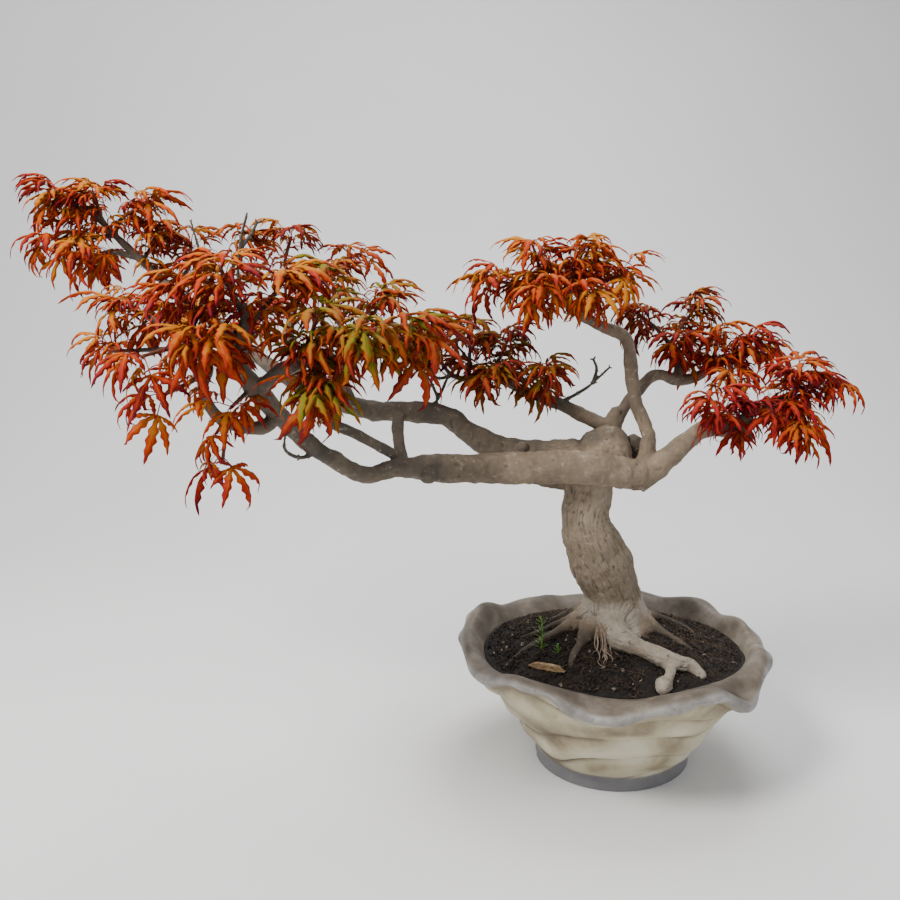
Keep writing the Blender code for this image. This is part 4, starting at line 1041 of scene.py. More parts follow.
# %% [markdown]
# A tube is a ring of points carried along a route. A curve object could be bevelled to a tube, but its
# rings twist in their own way, and bark needs to know where the side of the wood is at each place.

# %% Tubes


def joined(solids):
    """The points and faces of many solids as one list of each."""
    points, faces, first = [], [], 0
    for some, their in solids:
        points.append(some)
        faces += [tuple(first + i for i in face) for face in their]
        first += len(some)
    return np.vstack(points), faces


def run_along(points):
    """How far along a line each of its points is."""
    return np.concatenate([[0.0], np.cumsum(np.linalg.norm(np.diff(points, axis=0), axis=1))])


def carried(points):
    """Ahead, side and up at each point of a line, carried along it without twisting."""
    ahead = np.gradient(points, axis=0)
    ahead /= np.linalg.norm(ahead, axis=1)[:, None]
    side = np.array(Vector(ahead[0]).orthogonal().normalized())
    frames = []
    for way in ahead:
        side = side - way * side.dot(way)
        side /= np.linalg.norm(side)
        frames.append((way, side, np.cross(way, side)))
    return frames


def circle_of(side, up, sides):
    angles = 2 * math.pi * np.arange(sides) / sides
    return np.cos(angles)[:, None] * side + np.sin(angles)[:, None] * up


def tube_faces(count, sides):
    """The faces of a tube of `count` rings, closed by a flat cap at each end."""
    faces = []
    for i in range(count - 1):
        for k in range(sides):
            a, b = i * sides + k, i * sides + (k + 1) % sides
            faces.append((a, b, b + sides, a + sides))
    return faces + [tuple(reversed(range(sides))), tuple(range((count - 1) * sides, count * sides))]


print("a tube of three rings has", len(tube_faces(3, 5)), "faces")

# %% [markdown]
# The walk along a route also records, every few millimetres, which way the wood runs, so that the bark
# can ask for it later. Old maple limbs swell a little where leaf pairs once grew, so the radius rises
# at each such node.

# %% The grain of the wood
NODE_SPACING = 0.024
NODE_SWELL = 0.055
NODE_WIDTH = 0.12
NODE_UNEVEN = 0.019
GRAIN_SHIFT = 0.37           # moves the noise on, so that no two tubes have the same bark
ROW_SPACING = 0.004
TRUNK_SIDES = 40
TRUNK_TONE = 0.65


class Grain:
    """Samples along every route: place, frame, distance along, radius and tone."""

    def __init__(self):
        self.rows = []

    def tube(self, rows, sides, tone):
        rows = np.array(rows, float)
        run = run_along(rows[:, :3]) + GRAIN_SHIFT * len(self.rows)
        tones = np.broadcast_to(tone, len(rows))
        rings = []
        for row, (ahead, side, up), far, shade in zip(rows, carried(rows[:, :3]), run, tones):
            self.rows.append((*row[:3], *ahead, *side, *up, far, row[3], shade))
            rings.append(row[:3] + row[3] * circle_of(side, up, sides))
        rings.append(row[:3] + ahead * row[3] * 0.6 + (rings[-1] - row[:3]) * 0.55)
        return np.vstack(rings), tube_faces(len(rings), sides)


def swollen(rows, seed):
    """The route with its radius raised at each old leaf node."""
    rows = np.array(rows, float)
    run = run_along(rows[:, :3])
    uneven = 0.4 * np.sin(run / NODE_UNEVEN + seed)
    near = np.abs((run / NODE_SPACING + 0.31 * seed + uneven) % 1 - 0.5)
    rows[:, 3] *= 1 + NODE_SWELL * np.exp(-((near / NODE_WIDTH) ** 2)) - 0.03
    return rows


grain = Grain()
trunk_tubes = [grain.tube(smooth_route(TRUNK, ROW_SPACING), TRUNK_SIDES, TRUNK_TONE)]
print("trunk samples", len(grain.rows))

# %% [markdown]
# Each tube also gets a tone, from 0 for dark twigs to 1 for scraped, whitish roots. The two roots that
# were washed bare stay pale, the others turn brown and thin out into the soil. The limbs darken
# towards the far left, where the wood is young and lies in the crown's shade: partly the wood's own
# colour, partly painted shade.

# %% Roots, limbs and twigs as sunken tubes
PALE_ROOT_TONE = 0.90
ROOT_TONE = 0.30
PALE_ROOTS = 2
ROOT_THINNING = 0.58
LIMB_TONES = {"front_limb": 0.62, "long_limb": 0.36, "right_limb": 0.54, "top_riser": 0.52, "graft": 0.40}
FAR_TONE = 0.30
SCAR_TONE = 0.30
MIDDLE_TONE = 0.42
FEEDING_TWIG_TONE = 0.28
BARE_TWIG_TONE = 0.16
BARE_TWIG_RADII = (0.0020, 0.0013)
BARE_TWIG_SPACING = 0.003

for i, route in enumerate(ROOTS):
    x, y, lift, radius = np.array(route).T
    pale = i < PALE_ROOTS
    if not pale:
        radius = radius * np.interp(np.arange(len(radius)), (0, 1), (1, ROOT_THINNING))
    rows = np.column_stack([x, y, soil_height(x, y) + lift, radius])
    rows = smooth_route(rows, ROW_SPACING)
    away = np.linspace(0, 1, len(rows))
    tone = np.interp(away, (0, 0.35), (PALE_ROOT_TONE, PALE_ROOT_TONE if pale else ROOT_TONE))
    trunk_tubes.append(grain.tube(rows, 18, tone))
limb_tubes = []
for i, (name, route) in enumerate(LIMBS.items()):
    rows = swollen(smooth_route(route, ROW_SPACING), i)
    near = LIMB_TONES.get(name, MIDDLE_TONE)
    # Partly painted shade: the limbs' tone falls towards the far left, under the crown.
    tone = np.interp(rows[:, 0], (-0.22, -0.12, -0.05), (FAR_TONE, (near + FAR_TONE) / 2, near))
    limb_tubes.append(grain.tube(rows, 20, tone))
for start, end, radius in CUT_SCARS:
    rows = np.linspace((*start, radius), (*end, radius * 0.8), 5)
    limb_tubes.append(grain.tube(rows, 16, SCAR_TONE))
for i, rows in enumerate(twigs):
    limb_tubes.append(grain.tube(swollen(rows, i), 10, FEEDING_TWIG_TONE))
for i, route in enumerate(BARE_TWIGS):
    radii = np.linspace(*BARE_TWIG_RADII, len(route))
    rows = smooth_route([(*p, r) for p, r in zip(route, radii)], BARE_TWIG_SPACING)
    limb_tubes.append(grain.tube(swollen(rows, i), 10, BARE_TWIG_TONE))
print("tubes", len(trunk_tubes) + len(limb_tubes), "grain samples", len(grain.rows))

# %% [markdown]
# Merging: a voxel remesh lays one even skin over all the tubes, with soft joints where they meet. A
# Boolean union would keep hard seams and long thin faces, which bark can't be raised from.

# %% One skin over the tubes
TRUNK_CELL = 0.00095
LIMB_CELL = 0.00115


def skinned(name, tubes, cell):
    made = piece(name, *joined(tubes), None)
    skin = made.modifiers.new("Skin", "REMESH")
    skin.mode = "VOXEL"
    skin.voxel_size = cell
    baked(made)
    soft = made.modifiers.new("Soften", "SMOOTH")
    soft.factor = 0.5
    soft.iterations = 2
    return baked(made)


trunk = skinned("wood_trunk", trunk_tubes, TRUNK_CELL)
limbs = skinned("wood_limbs", limb_tubes, LIMB_CELL)
print("skins", len(trunk.data.polygons), len(limbs.data.polygons))

# %% [markdown]
# Bark has to follow the wood. Each point of the skin looks up the nearest grain sample, which gives its
# distance along the wood, its turn round it, and the wood's thickness and tone there. A texture laid
# on by the object's own axes would cut straight across bent limbs.

# %% Where each point lies on the grain
samples = np.array(grain.rows)
finder = KDTree(len(samples))
for i, row in enumerate(samples):
    finder.insert(Vector(row[:3]), i)
finder.balance()


def on_grain(points):
    """For each point: distance along the wood, its turn round it, radius and tone."""
    nearest = np.array([finder.find(p)[1] for p in points.tolist()])
    near = samples[nearest]
    away = points - near[:, :3]
    along = near[:, 12] + (away * near[:, 3:6]).sum(1)
    turn = np.arctan2((away * near[:, 9:12]).sum(1), (away * near[:, 6:9]).sum(1))
    return along, turn, near[:, 13], near[:, 14]


print("grain samples to look up", len(samples))

# %% [markdown]
# Bark: an old trunk cracks along the grain into narrow plates, younger limbs wrinkle across it and
# carry small pores and pits. Noise stretched along the grain makes the cracks, and round noise makes
# the lumps. How old the bark looks depends on how thick the wood is.

# %% Bark relief
CRACK = (0.0024, 0.015)      # width and length
FINE_CRACK = (0.0015, 0.009)
CRACK_DEPTH = 0.0008
FINE_CRACK_DEPTH = 0.0006
WRINKLE_LENGTH = 0.0024
WRINKLE_HEIGHT = 0.00022
KNOB_HEIGHT = 0.0009
PORE_HEIGHT = 0.0013
LUMP_SWELL = 0.0022
PIT_DEPTH = 0.0036
TRUNK_REACH = 0.026


def crack_height(along, turn, size, seed):
    """Ridges with narrow valleys along the grain, from 0 in a valley to 1."""
    cell, length = size
    reach = TRUNK_REACH / cell
    places = np.column_stack([np.cos(turn) * reach, np.sin(turn) * reach, along / length])
    return np.clip(np.abs(field(places, seed)) * 2.6, 0, 1)


def bark_height(points, along, turn, radius, tone):
    """Height of the bark in metres and how open it is, 0 in a crack and 1 on a ridge."""
    old = np.clip((radius - 0.011) / 0.010, 0, 1)
    bare_root = np.clip((tone - 0.70) / 0.12, 0, 1) * np.clip((radius - 0.002) / 0.006, 0, 0.8)
    old = np.maximum(old, bare_root)
    cracks = crack_height(along, turn, CRACK, 31)
    fine = crack_height(along, turn, FINE_CRACK, 32)
    wrinkles = field(np.column_stack([np.cos(turn) * 3, np.sin(turn) * 3, along / WRINKLE_LENGTH]), 33)
    lumps = layered(points * 62, 34, 3)
    pits = np.clip(field(points * 190, 37) - 0.60, 0, 1)
    pores = np.clip(field(points * 230, 35) - 0.62, 0, 1)
    size = np.clip(radius / 0.010, 0.15, 1)
    knobs = layered(points * 150, 36, 3)
    young = (WRINKLE_HEIGHT * wrinkles + KNOB_HEIGHT * knobs + PORE_HEIGHT * pores) * size
    plates = CRACK_DEPTH * (cracks - 0.75) + FINE_CRACK_DEPTH * (fine - 0.6)
    height = old * plates + (1 - 0.6 * old) * young
    height += (LUMP_SWELL * lumps - PIT_DEPTH * pits) * size
    open_old = 0.45 * cracks + 0.55 * fine
    open_young = 0.72 + 0.1 * wrinkles + 0.25 * lumps
    openness = old * open_old + (1 - old) * open_young - 1.6 * pits
    return height, np.clip(openness, 0, 1)


depths = bark_height(np.zeros((1, 3)), *(np.array([v]) for v in (0.0, 0.0, TRUNK_REACH, TRUNK_TONE)))
print("bark height at one point", depths[0].round(5))

# %% [markdown]
# The relief is raised along the skin's own directions. Thickness and tone jump where one tube ends and
# another begins, so both are evened out over the mesh first. The skin has far more faces than the
# piece needs, and Decimate takes them away where the bark is flat.

# %% Raise the bark
MOST_FACES = 160000
EVENING_ROUNDS = 24


def evened(mesh, values):
    """Values at the corners of a mesh, each pulled towards its neighbours' mean a few times."""
    ends = np.empty(len(mesh.edges) * 2, np.int32)
    mesh.edges.foreach_get("vertices", ends)
    a, b = ends.reshape(-1, 2).T
    count = np.bincount(a, minlength=len(values)) + np.bincount(b, minlength=len(values))
    for _ in range(EVENING_ROUNDS):
        total = np.bincount(a, values[b], len(values)) + np.bincount(b, values[a], len(values))
        values = 0.3 * values + 0.7 * total / np.maximum(count, 1)
    return values


def bark_of(mesh):
    """Height of the bark, how open it is, and the tone, with soft changes where pieces meet."""
    points = corners_of(mesh)
    along, turn, radius, tone = on_grain(points)
    radius, tone = evened(mesh, radius), evened(mesh, tone)
    height, openness = bark_height(points, along, turn, radius, tone)
    return height, openness, tone


def barked(made):
    """Raises the bark, thins the mesh to its limit, and stores what the finish reads."""
    points = corners_of(made.data)
    height = bark_of(made.data)[0]
    place_points(made, points + normals_of(made.data) * height[:, None])
    made.data.calc_loop_triangles()
    count = len(made.data.loop_triangles)
    if count > MOST_FACES:
        thin = made.modifiers.new("Thin", "DECIMATE")
        thin.ratio = MOST_FACES / count
        baked(made)
    _, openness, tone = bark_of(made.data)
    store(made, "openness", openness)
    store(made, "tone", tone)
    made.data.shade_smooth()
    return made


for made in (trunk, limbs):
    barked(made)
    print(made.name, "corners", len(made.data.vertices))

# %% [markdown]
# Bark colour runs from near-white on the scraped roots over tan-grey on the trunk to dark grey on the
# twigs, with painted shade in the cracks, pale lichen and a little green in the shade. All of it is
# blended from the stored tone and openness, so that the colour sits in the relief and not across it.

# %% Bark finish


def bark():
    finish = Finish("maple_bark")
    tone, openness = finish.stored("tone"), finish.stored("openness")
    cloud = finish.noise(38, 4, 0.6)
    mottle = finish.noise(190, 4, 0.65)
    skin = finish.colours(
        (0.02, (0.030, 0.025, 0.020)), (0.22, (0.070, 0.056, 0.040)), (0.42, (0.135, 0.100, 0.066)),
        (0.60, (0.215, 0.160, 0.105)), (0.78, (0.31, 0.245, 0.175)), (0.96, (0.45, 0.39, 0.315)),
        by=tone + (cloud - 0.5) * 0.55 + (mottle - 0.5) * 0.36,
    )
    # Painted shade: the bark darkens in its cracks and pits, where it is least open.
    shade = 1 - openness.within(0.05, 0.62)
    skin = finish.mixed(shade * 0.72, skin, (0.048, 0.036, 0.024))
    skin = finish.mixed(mottle.within(0.60, 0.70) * 0.38, skin, (0.46, 0.42, 0.35))
    green = finish.noise(60, 3, 0.6, vector=finish.stretched((1.0, 1.0, 1.6)))
    skin = finish.mixed(green.within(0.60, 0.76) * 0.38, skin, (0.17, 0.165, 0.085))
    dark = finish.noise(120, 5, 0.7)
    skin = finish.mixed(dark.within(0.62, 0.72) * 0.5, skin, (0.045, 0.036, 0.028))
    fine = finish.bump(finish.noise(1100, 3, 0.7), 0.0004, 0.8)
    plates = finish.bump(mottle, 0.0012, 0.7, under=fine)
    return finish.dress(Base_Color=skin, Roughness=0.68 + mottle * 0.25, Normal=plates)


bark_finish = bark()
for made in (trunk, limbs):
    made.data.materials.clear()
    made.data.materials.append(bark_finish)
    dressed(made, "maple_bark", "wood")

# %% [markdown]
# Bare twigs carry pairs of small resting buds. They repeat along a path, so Geometry Nodes place them:
# the twig's line becomes a curve, points are taken along it, and an egg-shaped bud is set on each,
# leaning out, once to each side.

# %% A tree that sets buds along a line
BUD_LENGTHS = (0.65, 1.25)   # shares of the given size
BUD_NARROWING = 0.32
BUD_LIFT = 0.8


def bud_shape(graph):
    """A round shape of 20 faces, narrowed towards its tip and standing on its foot."""
    ball = graph.node("GeometryNodeMeshIcoSphere", None, {"Radius": 1.0, "Subdivisions": 1})
    where = graph.node("GeometryNodeInputPosition")
    x = graph.node("ShaderNodeSeparateXYZ", None, {0: where})
    y, z = x.beside("Y"), x.beside("Z")
    narrow = 1 - (z + 1) * BUD_NARROWING
    place = graph.node("ShaderNodeCombineXYZ", None, {0: x * narrow, 1: y * narrow, 2: z + BUD_LIFT})
    return graph.node("GeometryNodeSetPosition", None, {"Geometry": ball, "Position": place})


def bud_tree(finish):
    graph, ask = new_tree("buds_on_twigs", Spacing="Float", Thickness="Float", Length="Float", Lean="Float")
    line = graph.node("GeometryNodeMeshToCurve", None, {"Mesh": ask["Geometry"]})
    sockets = {"Curve": line, "Length": ask["Spacing"]}
    spots = graph.node("GeometryNodeCurveToPoints", {"mode": "LENGTH"}, sockets)
    bud = bud_shape(graph)
    sockets = {0: ask["Thickness"], 1: ask["Thickness"], 2: ask["Length"]}
    size = graph.node("ShaderNodeCombineXYZ", None, sockets)
    size = scaled(graph, size, random_value(graph, *BUD_LENGTHS, 3))
    both = graph.node("GeometryNodeJoinGeometry")
    for way in (-1.0, 1.0):
        lean = graph.node("ShaderNodeCombineXYZ", None, {0: ask["Lean"] * way, 1: 0.0, 2: 0.0})
        turned_out = graph.node(
            "FunctionNodeRotateEuler", {"rotation_type": "EULER", "space": "LOCAL"},
            {"Rotation": spots.beside("Rotation"), "Rotate By": lean},
        )
        some = graph.node(
            "GeometryNodeInstanceOnPoints", None,
            {"Points": spots, "Instance": bud, "Rotation": turned_out, "Scale": size},
        )
        graph.feed(both.socket.node.inputs[0], some)
    real = graph.node("GeometryNodeRealizeInstances", None, {"Geometry": both})
    smooth = graph.node("GeometryNodeSetShadeSmooth", None, {"Geometry": real})
    return end_tree(graph, smooth, finish)


print("buds are", BUD_LENGTHS, "of their size long")

# %% [markdown]
# The buds are dark, dry scales. They stand on every bare twig and on the outer part of each feeding
# twig, where young wood carries them.

# %% Buds along the twigs
BUD_SPACING = 0.0085
BUD_SIZE = (0.00125, 0.0019)
BUD_LEAN = 0.85
BUD_SHARE = 0.6              # of a feeding twig's length, counted from its tip


def bud_scales():
    finish = Finish("bud_scales")
    cloud = finish.noise(400, 4, 0.6)
    colour = finish.colours(
        (0.3, (0.030, 0.024, 0.020)), (0.55, (0.085, 0.060, 0.042)), (0.8, (0.20, 0.17, 0.13)), by=cloud
    )
    bumps = finish.bump(finish.noise(900, 3), 0.0004, 0.8)
    return finish.dress(Base_Color=colour, Roughness=0.75, Normal=bumps)


def path_object(name, routes):
    points, edges = [], []
    for route in routes:
        first = len(points)
        points += [tuple(row[:3]) for row in route]
        edges += [(first + i, first + i + 1) for i in range(len(route) - 1)]
    mesh = bpy.data.meshes.new(name)
    mesh.from_pydata(points, edges, [])
    made = bpy.data.objects.new(name, mesh)
    bpy.context.scene.collection.objects.link(made)
    return made


bare_routes = [smooth_route([(*p, 0.0) for p in route], BARE_TWIG_SPACING) for route in BARE_TWIGS]
tip_routes = [rows[-max(3, round(len(rows) * BUD_SHARE)):] for rows in twigs]
buds = path_object("twig_buds", bare_routes + tip_routes)
thick, long = BUD_SIZE
with_tree(buds, bud_tree(bud_scales()), Spacing=BUD_SPACING, Thickness=thick, Length=long, Lean=BUD_LEAN)
place_points(buds, corners_of(buds.data))
dressed(buds, "maple_bark")

# %% [markdown]
# The leaf of this maple has narrow lobes with cut edges. Each lobe leaves the heart of the leaf almost
# level and then bows down like a claw. The solid model holds every full-grown leaf with plain lobes.
# The same rule, with the same random draws, gives their frames again here, and each leaf is checked
# against the points of its solid, so that the finer leaf lies exactly where the plain one was.

# %% The rule that a leaf grows by
LEAF_SIZE = 0.043
LOBE_ANGLES = (-84, -43, 0, 43, 84)
LOBE_SHARES = (0.62, 0.92, 1.0, 0.92, 0.62)
LOBE_BEND_POWER = 1.3
SHOOT_LENGTH = 0.019
MOST_TRIES = 40
SEED = 8


def grow_leaf(base, ahead, share, pair_turn, side_sign, size, draw, attempt):
    """One leaf: where its petiole leaves the shoot, its hub, its frame and the set of its lobes."""
    loose = 0.18 + 0.05 * attempt
    level = Vector((0, 0, 1)).cross(ahead)
    if level.length < 0.2:
        level = Vector((1, 0.3, 0)).cross(ahead)
    level.normalize()
    other = ahead.cross(level)
    turn = pair_turn + draw.uniform(-loose, loose) * 1.6
    sideways = side_sign * (math.cos(turn) * level + math.sin(turn) * other)
    way = 0.75 * ahead + 0.8 * sideways + Vector((0, 0, 0.25))
    way += loose * Vector([draw.uniform(-1, 1) for _ in range(3)])
    way.normalize()
    root = base + ahead * SHOOT_LENGTH * share
    hub = root + way * draw.uniform(0.007, 0.015 + 0.0006 * attempt)
    heading = Vector((way.x, way.y, 0))
    if heading.length < 0.25:
        heading += Vector((ahead.x, ahead.y, 0)) + 0.4 * Vector((sideways.x, sideways.y, 0))
    heading.normalize()
    pitch = math.asin(max(-1, min(1, way.z))) - draw.uniform(0.15, 0.6)
    pitch = max(-0.7, min(0.35, pitch))
    forward = (math.cos(pitch) * heading + math.sin(pitch) * Vector((0, 0, 1))).normalized()
    up = Vector((0, 0, 1)) + 0.35 * Vector([draw.uniform(-1, 1) for _ in range(3)])
    up = (up - forward * up.dot(forward)).normalized()
    size *= draw.uniform(0.86, 1.1) * (1 - 0.006 * attempt)
    lobes = []
    for angle, part in zip(LOBE_ANGLES, LOBE_SHARES):
        lobes.append((
            math.radians(angle + draw.uniform(-6, 6)),
            size * part * draw.uniform(0.9, 1.08),
            math.radians(draw.uniform(-14, 0)),
            math.radians(draw.uniform(66, 108)),
        ))
    frame_of = {"forward": forward, "side": up.cross(forward), "up": up}
    return {"root": root, "hub": hub, "size": size, "lobes": lobes, **frame_of}


def leaf_places(count):
    """(share along the shoot, turn of the pair, side) of each leaf: a last leaf if odd, then pairs."""
    places = [(1.0, 0.0, 0)] if count % 2 else []
    for pair in range(count // 2):
        places += [(0.92 - 0.34 * pair, math.pi / 2 * (pair % 2), side) for side in (-1, 1)]
    return places


for count in (2, 3, 4):
    print(count, "leaves sit at", [round(place[0], 2) for place in leaf_places(count)])

# %% [markdown]
# A lobe's midrib starts level or slightly raised and bows down faster and faster. Its slope is known at
# every share of its length, so small level and falling steps are summed up to give the curve. The same
# curve carries the plain lobe of the solid and the fine lobe made below.

# %% Curves of the lobes
CURVE_STEPS = 64


def lobe_curve(leaf, lobe, shares):
    """Points, outward and up directions at shares along one lobe, as arrays."""
    angle, length, rise, droop = lobe
    forward, side, up = (np.array(leaf[key]) for key in ("forward", "side", "up"))
    outward = math.cos(angle) * forward + math.sin(angle) * side
    fine = np.linspace(0, 1, CURVE_STEPS + 1)
    bend = rise + (droop - rise) * fine**LOBE_BEND_POWER
    middle = (bend[1:] + bend[:-1]) / 2
    reach = np.concatenate([[0], np.cumsum(np.cos(middle))]) * length / CURVE_STEPS
    fall = np.concatenate([[0], np.cumsum(np.sin(middle))]) * length / CURVE_STEPS
    reach, fall = np.interp(shares, fine, reach), np.interp(shares, fine, fall)
    bend = rise + (droop - rise) * np.asarray(shares) ** LOBE_BEND_POWER
    points = np.array(leaf["hub"]) + reach[:, None] * outward - fall[:, None] * up
    lifts = np.cos(bend)[:, None] * up + np.sin(bend)[:, None] * outward
    return points, outward, lifts


def tips_of(leaf):
    return [Vector(lobe_curve(leaf, lobe, [1.0])[0][0]) for lobe in leaf["lobes"]]


print("a lobe is summed up in", CURVE_STEPS, "steps")

# %% [markdown]
# When the solids were made, a leaf that ran into its neighbours or out of the box was drawn again. Which
# try was kept isn't written down anywhere, but it shows: a leaf is the right one when its tips lie on
# points of the solid. So the tries are made again in their order until the tips match.

# %% Find each solid leaf again
TIP_MATCH = 0.0006
ENOUGH_TIPS = 4


def solid_leaves():
    """Every full-grown leaf by part of the crown: the first try whose tips are in the solid."""
    found, order = {}, 0
    for part, sprays in SPRAYS.items():
        found[part] = []
        for k, (start, heading, count, scale) in enumerate(sprays, 1):
            mesh = frame["nodes"][f"spray_{part}_{k}"].data
            tips = KDTree(len(mesh.vertices))
            for v in mesh.vertices:
                tips.insert(v.co, v.index)
            tips.balance()
            ahead = Vector(heading).normalized()
            base = Vector(start) + GAP * ahead
            for j, (share, turn, side) in enumerate(leaf_places(count)):
                for attempt in range(MOST_TRIES):
                    draw = random.Random(SEED * 1000003 + order * 1009 + j * 101 + attempt)
                    leaf = grow_leaf(base, ahead, share, turn, side, LEAF_SIZE * scale, draw, attempt)
                    if sum(tips.find(tip)[2] < TIP_MATCH for tip in tips_of(leaf)) >= ENOUGH_TIPS:
                        found[part].append(leaf)
                        break
            order += 1
    return found


leaves = solid_leaves()
print("leaves found", sum(len(some) for some in leaves.values()))

# %% [markdown]
# A fine leaf: each lobe is a strip of stations from the hub to the tip. At each station the section is
# a shallow roof, with the midrib as its ridge and the margins hanging down. Every second station
# steps in, which cuts the teeth.

# %% Shape of a lobe
STATIONS = 11
FULL_ROWS = ((-1, 1.0), (-1, 0.5), (0, 0.0), (1, 0.5), (1, 1.0))
PLAIN_ROWS = ((-1, 1.0), (0, 0.0), (1, 1.0))
TOOTH_DEPTH = 0.40
CRINKLE = 0.0007
ROOF = 0.55
LOBE_WIDTH = 0.235           # the widest place, as a share of the lobe's length
WIDTH_PLACES = (0, 0.12, 0.30, 0.45, 0.62, 0.80, 0.93, 1)
WIDTHS_THERE = (0.30, 0.42, 0.86, 1.0, 0.86, 0.5, 0.2, 0.04)


def lobe_half_width(shares, length):
    """Half width along a lobe: narrow at the notch, widest before the middle, thin at the tip."""
    return length * LOBE_WIDTH / 2 * np.interp(shares, WIDTH_PLACES, WIDTHS_THERE)


def lobe_strip(leaf, lobe, stations, draw, across_rows):
    """Points (stations, rows, 3) from margin to margin of one lobe, with how far along and across."""
    shares = np.linspace(0.02, 1.0, stations)
    middle, outward, lifts = lobe_curve(leaf, lobe, shares)
    across = np.cross(lifts, outward)
    across /= np.linalg.norm(across, axis=1)[:, None]
    half = lobe_half_width(shares, lobe[1])
    teeth = np.where(np.arange(stations) % 2, 1.0, 1 - TOOTH_DEPTH)
    left_half = half * teeth * draw.uniform(0.85, 1.1)
    right_half = half * teeth * draw.uniform(0.85, 1.1)
    twist = draw.uniform(-0.45, 0.45) * shares**1.5
    wave = CRINKLE * np.sin(shares * draw.uniform(9, 15) + draw.uniform(0, 6))
    sway = draw.uniform(-0.10, 0.10) * lobe[1] * shares**2
    middle = middle + across * sway[:, None] + lifts * (wave * (1 - shares))[:, None]
    fall = ROOF * draw.uniform(0.7, 1.3)
    rows = []
    for side, part in across_rows:
        out = (left_half if side < 0 else right_half) * part
        drop = out * (fall + side * twist) * (0.55 + 0.45 * part)
        ripple = 0.25 * wave * side * part
        rows.append(middle + across * (side * out)[:, None] - lifts * (drop + ripple)[:, None])
    points = np.stack(rows, axis=1)
    across_uv = np.broadcast_to(np.array([side * part for side, part in across_rows]), points.shape[:2])
    along_uv = np.broadcast_to(shares[:, None], points.shape[:2])
    return points, lifts, along_uv, across_uv


print("half width of a lobe, in mm", (lobe_half_width(np.linspace(0, 1, 6), LEAF_SIZE) * 1000).round(2))

# %% [markdown]
# The underside repeats the top a little lower, and both share the margins, so that a lobe is a closed
# blade with real thickness. A single sheet would do for the eye, but not for light shining through.

# %% A closed blade
BLADE_THICKNESS = 0.00035


def blade(points, lifts):
    """A closed strip: top, underside and the margins shared by both."""
    count, wide = points.shape[:2]
    lower = points - lifts[:, None, :] * BLADE_THICKNESS
    top = points.reshape(-1, 3)
    under = lower[:, 1:-1].reshape(-1, 3)
    base = count * wide
    faces = []

    def low(i, k):
        return base + i * (wide - 2) + k - 1 if 0 < k < wide - 1 else i * wide + k

    for i in range(count - 1):
        for k in range(wide - 1):
            a, b = i * wide + k, i * wide + k + 1
            faces.append((a, b, b + wide, a + wide))
            faces.append((low(i, k + 1), low(i, k), low(i + 1, k), low(i + 1, k + 1)))
    for i, order in ((0, 1), (count - 1, -1)):
        ring = [i * wide + k for k in reversed(range(wide))] + [low(i, k) for k in range(1, wide - 1)]
        faces.append(tuple(ring[::order]))
    return np.vstack([top, under]), faces


print("a blade of three stations has", len(blade(np.zeros((3, 5, 3)), np.zeros((3, 3)))[1]), "faces")

# %% [markdown]
# Petioles, shoots, weed stems, fibres and hair roots are all thin tubes along a few points. They use
# the same frames and faces as the limbs, without the rows for the bark.

# %% Stalks


def stalk(points, radii, sides=5):
    """A thin closed tube along a few points."""
    points = np.array(points, float)
    rings = []
    for place, radius, (_, side, up) in zip(points, radii, carried(points)):
        rings.append(place + radius * circle_of(side, up, sides))
    return np.vstack(rings), tube_faces(len(rings), sides)


print("a stalk has", len(stalk(((0, 0, 0), (0, 0, 1)), (1, 1))[0]), "points")

# %% [markdown]
# Everything of one part of the crown is gathered in one mesh, which carries for each corner what the
# leaf finish has to know: how far along and across its lobe it is, its leaf's shade, and its kind.

# %% All that one part of the crown holds
PETIOLE_RADIUS = 0.0125      # as a share of the leaf's size
PETIOLE_BOW = 0.0012
PETIOLE_SINK = 0.0006
SHOOT_RADII = (0.0017, 0.0012)
SHOOT_ROWS = 7


